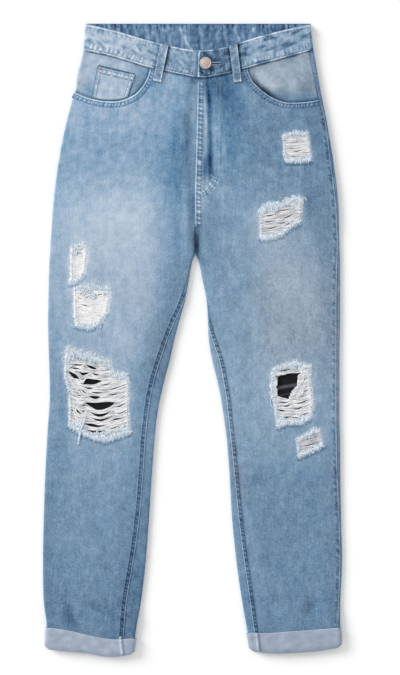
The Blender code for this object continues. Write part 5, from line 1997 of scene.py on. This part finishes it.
# ---- Small pieces ----
@dataclass
class Facing(Panel):
    """The denim in a pocket's mouth; it runs on under the front panel."""

    over: int = 1
    rows: int = 60
    end: float = 138.0

    def put(self, across: float, down: float) -> Spot:
        """Lay one point.

        Args:
            across: its share from the outseam inwards.
            down: its share from the waistband down.

        Returns:
            Its spot.
        """
        nominal = mix(BAND_SIDE, self.end, down)
        cut = self.leg.cut(nominal)
        start = cut.outseam_run() + GAP / 2
        inner = cut.quarter - cut.radius + abs(cut.outer - FACING_INNER[self.leg.name])
        run = mix(start, inner, across)
        level = (1 - smooth(84, 95, nominal)) * (1 - smooth(10, 22, run - start))
        sunk = (DENIM + GAP) * (1 - level)

        def drop_of(x: float, z: float) -> float:
            shift = (band_seam(x, z) - BAND_SIDE) * (1 - smooth(BAND_SIDE, 125, nominal))
            return nominal + shift

        x, drop, z, _ = self.skin(cut, run, drop_of, -sunk)
        right = self.leg.right
        tone = (0.695 if right else 0.60) + 0.06 * wander(x, drop, 16, 16)
        tone += 0.06 * wander(x, drop, 6, 37) + bumps(FACING_FADES_AND_SHADE, x, drop)
        # Painted shade just inside the pocket mouth's edge, deepest along the left facing's lower
        # edge; the right facing is also darker towards its inner end.
        edge = nearest(POCKET_MOUTHS[self.leg.name], x, drop)[2]
        tone -= 0.22 * (1 - smooth(0.5, 6, edge)) * (1 - level)
        if right:
            tone -= 0.10 * smooth(-94, -76, x)
        else:
            tone -= 0.26 * (1 - smooth(3, 11, edge)) * smooth(86, 96, x) * (1 - smooth(112, 140, x))
        return Spot(x, drop, z, tone, 0.0 if right else -0.32 * (1 - smooth(92, 116, drop)))

    def build(self) -> Piece:
        """Weave the facing."""
        return Weave(64, self.rows, self.put).finish(
            "facing_" + self.leg.name, "pocket_facing_" + self.leg.name, LOOP,
            [Finishes.PALE, Finishes.REVERSE], "pale_denim")


@dataclass(frozen=True)
class CoinPocket:
    """The small pocket sewn to the right facing."""

    top_left: Point = (-141.0, 64.5)
    top_right: Point = (-86.0, 77.5)
    low_right: Point = (-97.0, 110.5)
    low_left: Point = (-150.0, 110.5)
    bow: float = 4.0
    hem: float = 12.0
    top: float = SEAT_LIFT + FLAT_HEIGHT - DENIM + LOOP

    def surface(self, x: float, drop: float) -> float:
        """Give the height of its face."""
        return self.top + 0.2 * wander(x, drop, 11, 17)

    def tone(self, x: float, drop: float) -> float:
        """Give the tone of its denim."""
        return 0.725 + 0.07 * wander(x, drop, 9, 18) + 0.05 * wander(x, drop, 4, 39)

    def put(self, across: float, down: float) -> Spot:
        """Lay one point.

        Args:
            across, down: its shares across and down the cloth.

        Returns:
            Its spot.
        """
        top = [mix(self.top_left[i], self.top_right[i], across) for i in (0, 1)]
        low = [mix(self.low_left[i], self.low_right[i], across) for i in (0, 1)]
        low[1] += self.bow * (1 - (2 * across - 1) ** 2)
        x, drop = (mix(top[i], low[i], down) for i in (0, 1))
        edge = min(across, 1 - across, down) * 40
        return Spot(x, drop, self.surface(x, drop) - 0.5 * (1 - smooth(0, 1, edge)),
                    self.tone(x, drop))

    def build(self) -> List[Piece]:
        """Weave the pocket with its hem and its stitched sides.

        Returns:
            The pocket, its hem and its side strips.
        """
        made = [Weave(60, 44, self.put).finish("coin_pocket_shell", "coin_pocket", LOOP,
                                               [Finishes.PALE], "pale_denim", flat=1)]
        for name, path, width, pitch in (
                ("hem", (self.top_left, self.top_right), self.hem, 6.5),
                ("side_right", (self.top_right, self.low_right), 7.2, 5.5),
                ("side_left", (self.low_left, self.top_left), 6.6, 5.5)):
            made.append(SeamBand("coin_" + name, path, width, PATCH_BAND, self.surface, self.tone,
                                 pitch=pitch, shade=0.17, kind=Finishes.PALE).build())
        tack = Threads("coin_bar_tack", lambda x, drop: 0.6, Finishes.TACK)
        for i in range(5):
            x = self.top_left[0] + 1.2 + 0.8 * i
            tack.add([(x, drop, self.top + lift)
                      for drop, lift in ((66, 0.2), (67.5, 0.8), (69.5, 0.8), (71, 0.2))], 0.34)
        return made + [tack.build(slot="")]


LOOP_LIFTS = ((0, 0.0), (0.18, 0.7), (0.45, 1.0), (0.68, 0.8), (0.8, 0.1), (1, -0.5))


@dataclass(frozen=True)
class FrontLoop:
    """A belt loop at the front."""

    name: str
    top: Point
    low: Point
    tone: float
    length: float = 53.0
    pitch: float = 4.6
    tint: float = -0.08

    def put(self, across: float, down: float) -> Spot:
        """Lay one point.

        Args:
            across, down: its shares across and down the cloth.

        Returns:
            Its spot.
        """
        x = mix(self.top[0], self.low[0], down) + (across - 0.5) * LOOP_WIDTH
        drop = mix(self.top[1], self.low[1], down)
        drop += (across - 0.5) * LOOP_WIDTH * (self.top[0] - self.low[0]) / self.length
        side = abs(2 * across - 1)
        z = BAND_TOP + lap_rise(x) + GAP + LOOP + read(LOOP_LIFTS, ("share", "lift"), "lift", down)
        z += (0.35 * smooth(0.72, 0.86, side) * (1 - smooth(0.9, 1.0, side))
              - 0.3 * smooth(0.93, 1, side))
        z += (0.12 * math.sin(math.tau * drop / self.pitch) * smooth(0.4, 0.6, side)
              + 0.15 * wander(x, drop, 5, 20))
        tone = self.tone + 0.19 * smooth(0.66, 0.78, side) - 0.04 * (1 - smooth(0.1, 0.3, side))
        # Painted shadow along both sides of the loop.
        tone -= 0.34 * smooth(0.84, 0.94, side)
        tone += 0.14 * bell((1 - down) * self.length - 2.2, 1.4) - 0.22 * smooth(0.975, 0.995, down)
        tone -= 0.10 * smooth(0.4, 0.7, down) * (1 - smooth(0.90, 0.95, down)) * (1 - side)
        tone += 0.16 * wander(x, drop, 4, 19) + 0.12 * wander(x, drop, 9, 38)
        return Spot(x, drop, z, tone, self.tint)

    def build(self) -> Piece:
        """Weave the loop."""
        return Weave(22, 54, self.put).finish("loop_front_" + self.name,
                                              "belt_loop_front_" + self.name, LOOP,
                                              [Finishes.DENIM], flat=1)


@dataclass(frozen=True)
class BackLoop:
    """A belt loop at the back, under the band."""

    name: str
    x: float
    top: float = 0.5
    low: float = 56.0

    def put(self, across: float, down: float) -> Spot:
        """Lay one point, with the edges puckered by their stitches.

        Args:
            across, down: its shares across and down the cloth.

        Returns:
            Its spot.
        """
        edge = smooth(0.3, 0.45, abs(across - 0.5))
        return Spot(self.x + (across - 0.5) * LOOP_WIDTH, mix(self.top, self.low, down),
                    0.12 * abs(math.sin(math.pi * down * 9)) * edge, 0.52 + 0.1 * edge)

    def build(self) -> Piece:
        """Weave the loop."""
        return Weave(10, 30, self.put).finish("loop_" + self.name, "belt_loop_" + self.name, LOOP,
                                              [Finishes.DENIM], flat=-1)


@dataclass(frozen=True)
class BackPocket:
    """A five sided patch pocket, face down under the seat."""

    leg: Leg
    half_top: float = 72.0
    half_low: float = 63.0
    side: float = 118.0
    point: float = 148.0

    def put(self, across: float, down: float) -> Spot:
        """Lay one point.

        Args:
            across, down: its shares across and down the cloth.

        Returns:
            Its spot.
        """
        middle, top = BACK_POCKETS[self.leg.name]
        half = mix(self.half_top, self.half_low, down)
        end = mix(self.point, self.side, abs(2 * across - 1))
        x, drop = middle + (2 * across - 1) * half, top + end * down
        edge = min(half - abs(x - middle), drop - top, end - (drop - top))
        sewn = bell(edge - 3.0, 1.0) + bell(edge - 9.0, 1.0)
        tone = 0.60 + 0.08 * (1 - smooth(0, 2, edge)) - 0.07 * sewn + 0.03 * wander(x, drop, 14, 21)
        return Spot(x, drop, 0.02 + 0.12 * sewn, tone)

    def build(self) -> Piece:
        """Weave the pocket."""
        return Weave(50, 50, self.put).finish(
            "patch_pocket_" + self.leg.name, "back_pocket_" + self.leg.name, LOOP - 0.15,
            [Finishes.DENIM], flat=-1)


@dataclass(frozen=True)
class KneeCloth:
    """The dark cloth behind a knee rip."""

    leg: Leg
    beyond: Point = (5.0, 6.0)
    wall: float = 1.0

    def put(self, across: float, down: float) -> Spot:
        """Lay one point, with low folds that lie across the leg, and on the left a painted sheen
        along them.

        Args:
            across, down: its shares across and down the cloth.

        Returns:
            Its spot.
        """
        low_x, high_x, low_d, high_d = extent(RIPS["knee_" + self.leg.name])
        x = mix(low_x - self.beyond[0], high_x + self.beyond[0], across)
        drop = mix(low_d - self.beyond[1], high_d + self.beyond[1], down)
        z = floor_height(drop) + tube_height(drop) - DENIM - self.wall - 0.55
        tone = 0.055 + 0.03 * wander(x, drop, 9, 22)
        if not self.leg.right:
            # Painted sheen lightens the two folds on the left.
            for fold_x, fold_drop, half, gain in ((141, 543.5, 2.6, 0.30), (138, 555.5, 1.5, 0.17)):
                off = drop - fold_drop + 0.17 * (x - fold_x)
                z += 0.4 * bell(off, half * 1.6)
                tone += gain * bell(off, half) * (1 - smooth(13, 22, abs(x - fold_x)))
        return Spot(x, drop, z, tone)

    def build(self) -> Piece:
        """Weave the cloth."""
        return Weave(44, 60, self.put).finish(
            "knee_cloth_" + self.leg.name, "knee_backing_" + self.leg.name, self.wall,
            [Finishes.DARK], "knee_cloth", flat=1)


@dataclass(frozen=True)
class Button:
    """A tack button: a domed cap with a rolled rim on a neck."""

    foot: float = BAND_TOP + LAP_LIFT - BAND
    top: float = BAND_TOP + LAP_LIFT
    neck: float = 3.4
    steps: int = 64

    def build(self) -> Piece:
        """Turn the button round its axis.

        Returns:
            The piece.
        """
        profile = (
            (0, self.foot), (self.neck, self.foot), (self.neck, self.top + 0.3),
            (7.6, self.top + 0.3), (8.4, self.top + 0.6), (8.8, self.top + 1.1),
            (8.8, self.top + 1.5), (8.5, self.top + 1.95), (8.0, self.top + 2.2),
            (7.5, self.top + 2.15), (7.1, self.top + 1.85), (6.6, self.top + 1.8),
            (6.0, self.top + 2.05), (5.2, self.top + 2.3), (3.8, self.top + 2.6),
            (2.2, self.top + 2.85), (0, self.top + 2.95))
        shape = bmesh.new()
        centre = world(BUTTON_X, BUTTON_DROP, 0.0)
        points = [shape.verts.new(centre + Vector((r * MM, 0, z * MM))) for r, z in profile]
        lines = [shape.edges.new(pair) for pair in zip(points, points[1:])]
        bmesh.ops.spin(shape, geom=points + lines, cent=centre, axis=(0, 0, 1), angle=math.tau,
                       steps=self.steps, use_merge=True)
        bmesh.ops.remove_doubles(shape, verts=shape.verts, dist=1e-6)
        bmesh.ops.recalc_face_normals(shape, faces=shape.faces)
        return joined("button_cap", shape, [Finishes.BUTTON], "button")


# ---- Turn-ups ----
@dataclass
class TurnUp:
    """The leg's end turned up outside: its outside, its fold and a little of its inside."""

    leg: Leg
    inside: float = 7.0
    columns: int = 200

    def profile(self, down: float) -> Tuple[float, float, float]:
        """Give the section at a share of its length.

        Args:
            down: 0 at the outer edge and 1 at the inner.

        Returns:
            The share from the top to the fold, the drop below the fold, and how far
            outside the leg it lies.
        """
        outside = GAP + DENIM
        inner = -(2 * DENIM + GAP)
        bend = (outside - inner) / 2
        if down < 0.7:
            return down / 0.7, 0.0, outside
        if down < 0.88:
            turn = (down - 0.7) / 0.18 * math.pi
            return 1.0, bend * math.sin(turn), (outside + inner) / 2 + bend * math.cos(turn)
        return 1.0, -self.inside * (down - 0.88) / 0.12, inner

    def put(self, around: float, down: float) -> Spot:
        """Lay one point.

        Args:
            around: its share round the leg, from the outer fold over the front.
            down: its share of the section.

        Returns:
            Its spot.
        """
        share, below, grow = self.profile(down)
        cut = self.leg.cut(mix(CUFF_TOP, HEM, share))
        run = (around * 2 * cut.length) % (2 * cut.length)
        x, z = cut.around(run, 1, grow)
        front = 0 < run < cut.length
        fold = self.leg.cuff_edge("fold", x) - CUFF_BEND
        drop = mix(self.leg.cuff_edge("top", x), fold, share) + below
        flat = smooth(0, 6, min(abs(x - cut.outer), abs(x - cut.inner)))
        tone = 0.65 if self.leg.right else 0.625
        shrink = 0.055 * smooth(0.66, 0.80, down)
        x -= shrink * (x - (cut.outer + cut.inner) / 2)
        corner = (1 - min(1.0, min(abs(x - cut.outer), abs(x - cut.inner)) / 8)) ** 2
        drop += corner * (2.0 * (1 - smooth(0.0, 0.5, share)) - 2.4 * smooth(0.5, 1.0, share))
        if front and down < 0.7:
            wave = 0.5 * wander(x, drop, 15, 23) + 0.3 * wander(x * 0.4, drop, 5, 24)
            z += (wave + 0.25) * flat * smooth(0, 0.12, down) * (1 - smooth(0.9, 1.0, share))
            # Darker towards the fold, with a painted highlight along the top edge.
            tone += 0.05 * wander(x, drop, 11, 25) - 0.05 * smooth(0.75, 1.0, share)
            tone += 0.05 * (1 - smooth(0.0, 0.07, share)) + 0.03 * streaks(x, drop, 34, 7, -24, 42)
            seam = -106.5 if self.leg.right else 98.0
            off = x - seam - 0.12 * (drop - 925)
            tone -= 0.18 * bell(off - 2.2, 1.2) - 0.10 * bell(off + 1.6, 1.4)
            z += 0.5 * bell(off + 1.2, 2.4) * flat
        else:
            tone -= 0.05 * smooth(0.7, 0.76, down)
        return Spot(x, drop, z, tone)

    def build(self) -> Piece:
        """Weave the turn-up and join its two ends where they meet.

        Returns:
            The piece.
        """
        weave = Weave(self.columns, 40, self.put)
        bmesh.ops.remove_doubles(weave.mesh, verts=weave.mesh.verts, dist=1e-5)
        return weave.finish("turn_up_" + self.leg.name, "cuff_" + self.leg.name, DENIM,
                            [Finishes.REVERSE], "reverse")


# ---- The garment ----
class Garment:
    """The jeans: every sheet with the small pieces that lie on it."""

    def __init__(self) -> None:
        """Prepare the band, on which other pieces lie."""
        self.band = Waistband()

    def leg_seams(self, leg: Leg) -> List[Piece]:
        """Sew the seams of one front.

        Args:
            leg: the side.

        Returns:
            The strips along its pocket mouth, its inseam and, on the left, its outseam.
        """
        right = leg.right
        mouth = POCKET_MOUTHS[leg.name]
        inseam = [(leg.column("inseam", drop) + (-3.5 if right else 1.7), drop)
                  for drop in (mix(402 if right else 420, 916, i / 24) for i in range(25))]
        if right:
            inseam.reverse()
            mouth = mouth[10:1:-1] + ((-64.3, 72), (-64, 68.5))
        else:
            mouth = ((83, 68.5), (83.3, 72)) + mouth[2:9] + ((189, 114.5),)
        tone = partial(denim_tone, leg)
        strips = [
            SeamBand("mouth_strip_" + leg.name, mouth, 9.6, EDGE_BAND, leg.front, tone,
                     pitch=4.6, shade=0.15, tint=denim_tint),
            SeamBand("inseam_strip_" + leg.name, inseam, 9.8 if right else 9.2, FELL_BAND,
                     away(leg.rolled, 0.1), tone, pitch=7.0, depth=0.35,
                     shade=0.12 if right else 0.14, hold=leg.hold, tint=denim_tint)]
        if not right:
            side = [(leg.column("outseam", drop) - 4.5, drop) for drop in range(912, 124, -12)]
            strips.append(SeamBand("outseam_strip", side, 10.5, OUTSEAM_BAND,
                                   away(leg.rolled, 0.1), tone, pitch=17.0, depth=0.3,
                                   shade=0.10, hold=leg.hold, tint=denim_tint))
        return [strip.build() for strip in strips]

    def fly_seams(self) -> List[Piece]:
        """Sew the fly: the lapped edge and the curved rows of stitches.

        Returns:
            The strip and the stitches.
        """
        edge = [(lap_edge(drop), drop) for drop in range(304, 82, -8)]
        tone = partial(denim_tone, LEFT)
        strip = SeamBand("fly_edge", edge, 11.5, LAP_BAND, LEFT.front, tone, pitch=7.4, shade=0.25,
                         tint=denim_tint)
        curved = SeamBand("fly_curve", ((8, 252), (15, 248), (21, 242), (25.5, 235), (28, 227)),
                          15.0, CURVED_BAND, LEFT.front, tone, pitch=4.8, shade=0.18, depth=0.3,
                          tint=denim_tint)
        rows = Threads("fly_stitches", lambda x, drop: 0.60 + 0.25 * wander(x, drop, 9, 26),
                       Finishes.DENIM)
        for path in (((36, 86), (36.5, 160), (36, 226)), ((41.5, 85), (42, 160), (41.5, 228)),
                     ((11, 180), (11, 236), (10.5, 250)), ((14, 280), (13, 300), (11, 320)),
                     ((9, 282), (9, 300), (8, 316))):
            rows.stitches(path, LEFT.front, radius=0.22)
        knots = Threads("fly_bar", lambda x, drop: 0.66 + 0.3 * wander(x, drop, 3, 27))
        dice = random.Random("bar tack")
        for row in range(4):
            for share in (i / 10 for i in range(11)):
                x, drop = mix(7, 29, share), 229 + 7.5 * row + dice.uniform(-2, 2)
                drop += 4 * (1 - share)
                z = LEFT.front(x, drop)
                knots.add([(x, drop - dice.uniform(0.8, 1.8), z - 0.1), (x + 0.4, drop, z + 0.55),
                           (x + 0.6, drop + dice.uniform(0.8, 1.8), z - 0.1)], 0.3)
        return [strip.build(), curved.build(), rows.build(), knots.build()]

    def cuff_yarns(self, leg: Leg) -> Piece:
        """Let the seam's white yarn show where the turn-up wore through.

        Args:
            leg: the side.

        Returns:
            The yarns.
        """
        yarns = Threads("cuff_yarns_" + leg.name, fringe_tone, Finishes.FRINGE)
        dice = random.Random("cuff " + leg.name)
        right = leg.right
        top = floor_height(930) + tube_height(930) + GAP + DENIM + 0.65
        line: Line = []
        for i in range(13 if right else 5):
            drop = (918 if right else 922) + 2.0 * i
            x = (-107.5 if right else 97.5) + 0.12 * (drop - 925)
            line.append((x + (2.0 if i % 2 else -2.0) * dice.uniform(0.3, 1.1), drop, top))
            for _ in range(3 if right else 2):
                turn, size = dice.uniform(0, math.tau), dice.uniform(1.2, 2.6)
                yarns.add([(x + far * math.cos(way), drop + far * math.sin(way), top + lift)
                           for far, way, lift in ((0.0, turn, -0.2), (size * 0.6, turn, 0.2),
                                                  (size, turn + 0.9, 0.0))], 0.3)
        if right:
            yarns.add(line, 0.5)
        return yarns.build()

    def band_seams(self) -> List[Piece]:
        """Sew the band's lower seam and its rim.

        Returns:
            The strips.
        """
        strips = []
        for name, edge, ends, off, width, strands in (
                ("seam", "seam", (176, -157), -0.3, 14.0, BAND_SEAM),
                ("rim", "top", (-157, 176), 0.2, 10.0, BAND_RIM)):
            line = [(x, band_edge(edge, x) + off) for x in (mix(*ends, i / 40) for i in range(41))]
            left = [p for p in line if p[0] > BAND_LAP + 1]
            right = [p for p in line if p[0] < BAND_LAP - 1]
            for side, part, surface in (("left", left, self.band.upper),
                                        ("right", right, self.band.under)):
                strips.append(SeamBand("band_%s_%s" % (name, side), part, width, strands, surface,
                                       self.band.tone, pitch=6.6, depth=0.35, shade=0.13,
                                       kind=Finishes.BAND))
        strips.append(SeamBand(
            "band_end", ((7.7, 81), (7.5, 70), (7.6, 56), (8.4, 46), (10.5, 41)), 7.5, BAND_END,
            self.band.upper, self.band.tone, pitch=6.0, kind=Finishes.BAND))
        return [strip.build() for strip in strips]

    def buttonhole(self) -> List[Piece]:
        """Sew the buttonhole.

        Returns:
            Its slit, drawn as dark yarns that paint the shade in the opening, and its thick
            stitches.
        """
        # The slit's opening is painted shade: dark yarns laid in it.
        slit = Threads("buttonhole_slit", lambda x, drop: 0.1, Finishes.DARK)
        for lift in (0.0, 0.5, 1.0):
            slit.add([(x, 60.6 + lift, self.band.upper(x, 61) + 0.12)
                      for x in (27, 31, 35, 39, 41)], 0.5)
        bar = Threads("buttonhole_stitches", lambda x, drop: 0.62 + 0.1 * wander(x, drop, 2, 28),
                      Finishes.DENIM)
        for side in (-1, 1):
            for i in range(18):
                x = mix(26.5, 42, i / 17)
                bar.add([(x, 61 + side * d, self.band.upper(x, 61) + lift)
                         for d, lift in ((0.7, 0.05), (1.7, 0.6), (2.8, 0.05))], 0.42)
        return [slit.build("denim"), bar.build("denim")]

    def build(self) -> None:
        on_front: Dict[str, List[Piece]] = {"right": [], "left": self.fly_seams()}
        for rip in RIP_LIST:
            on_front[rip.leg.name] += rip.build()
        for leg in LEGS:
            front = FrontPanel(leg).build()
            on_front[leg.name] + self.leg_seams(leg)
            BackPanel(leg).build()
            BackPanel(leg, yoke=True).build()
            BackPocket(leg).build()
            KneeCloth(leg).build()
            turn_up = TurnUp(leg).build()
            self.cuff_yarns(leg)
            facing = Facing(leg).build()
            extra = CoinPocket().build() if leg is RIGHT else []
            top_x, top, low_x, low = FRONT_LOOPS[leg.name]
            loop = FrontLoop(leg.name, (top_x, top), (low_x, low), 0.61 if leg is RIGHT else 0.545)
            loop.build()
        for name, x in BACK_LOOPS.items():
            BackLoop(name, x).build()
        self.band.build()
        self.band_seams() + self.buttonhole()
        Button().build()
        self.dress_nodes()

    def dress_nodes(self) -> None:
        """Give the pieces inside the garment their finishes."""
        for name in ("pocket_bag_right", "pocket_bag_left", "zip", "fly_shield"):
            node = frame["nodes"][name]
            node.data.materials.clear()
            node.data.materials.append(
                finish(Finishes.SHIELD if name == "fly_shield" else Finishes.COTTON))


# ---- Floor, light and camera ----
@dataclass(frozen=True)
class Studio:
    """A white floor under soft light from the upper left, seen from straight above."""

    floor_size: float = 30.0
    white: float = 0.97
    fill: float = 0.73
    key: float = 0.34
    elevation: float = 23.0
    bearing: float = 150.0
    softness: float = 30.0
    camera_place: Tuple[float, float, float] = (0.01125, 0.00365, 2.8125)

    def build(self) -> None:
        """Make the floor, the lights and the camera."""
        scene = bpy.context.scene
        shape = bmesh.new()
        bmesh.ops.create_grid(shape, x_segments=1, y_segments=1, size=self.floor_size / 2)
        data = bpy.data.meshes.new("floor")
        shape.to_mesh(data)
        shape.free()
        floor = bpy.data.objects.new("floor", data)
        scene.collection.objects.link(floor)
        floor.location.z = -0.0002
        shader = Shader("white_floor")
        shader.feed(shader.base, {"Base Color": (self.white, self.white, self.white, 1),
                                  "Roughness": 1.0, "Specular IOR Level": 0.0})
        data.materials.append(shader.material)

        world_light = bpy.data.worlds.new("fill")
        world_light.use_nodes = True
        background = world_light.node_tree.nodes["Background"]
        background.inputs["Color"].default_value = (self.fill, self.fill, self.fill, 1)
        background.inputs["Strength"].default_value = 1.0
        scene.world = world_light

        sun = bpy.data.lights.new("key", "SUN")
        sun.energy = self.key * math.pi / math.sin(math.radians(self.elevation))
        sun.angle = math.radians(self.softness)
        lamp = bpy.data.objects.new("key", sun)
        lamp.rotation_euler = Euler((math.radians(90 - self.elevation), 0,
                                     math.radians(self.bearing + 90)))
        scene.collection.objects.link(lamp)

        lens = bpy.data.cameras.new("camera")
        lens.lens = 100.0
        lens.sensor_width = 36.0
        lens.clip_start = 0.05
        camera = bpy.data.objects.new("camera", lens)
        camera.location = self.camera_place
        scene.collection.objects.link(camera)
        scene.camera = camera
        scene.view_settings.view_transform = "Standard"


def main() -> None:
    """Build the scene."""
    logging.basicConfig(level=logging.INFO, format="%(message)s")
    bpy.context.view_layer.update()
    Garment().build()
    Studio().build()


if __name__ == "__main__":
    main()
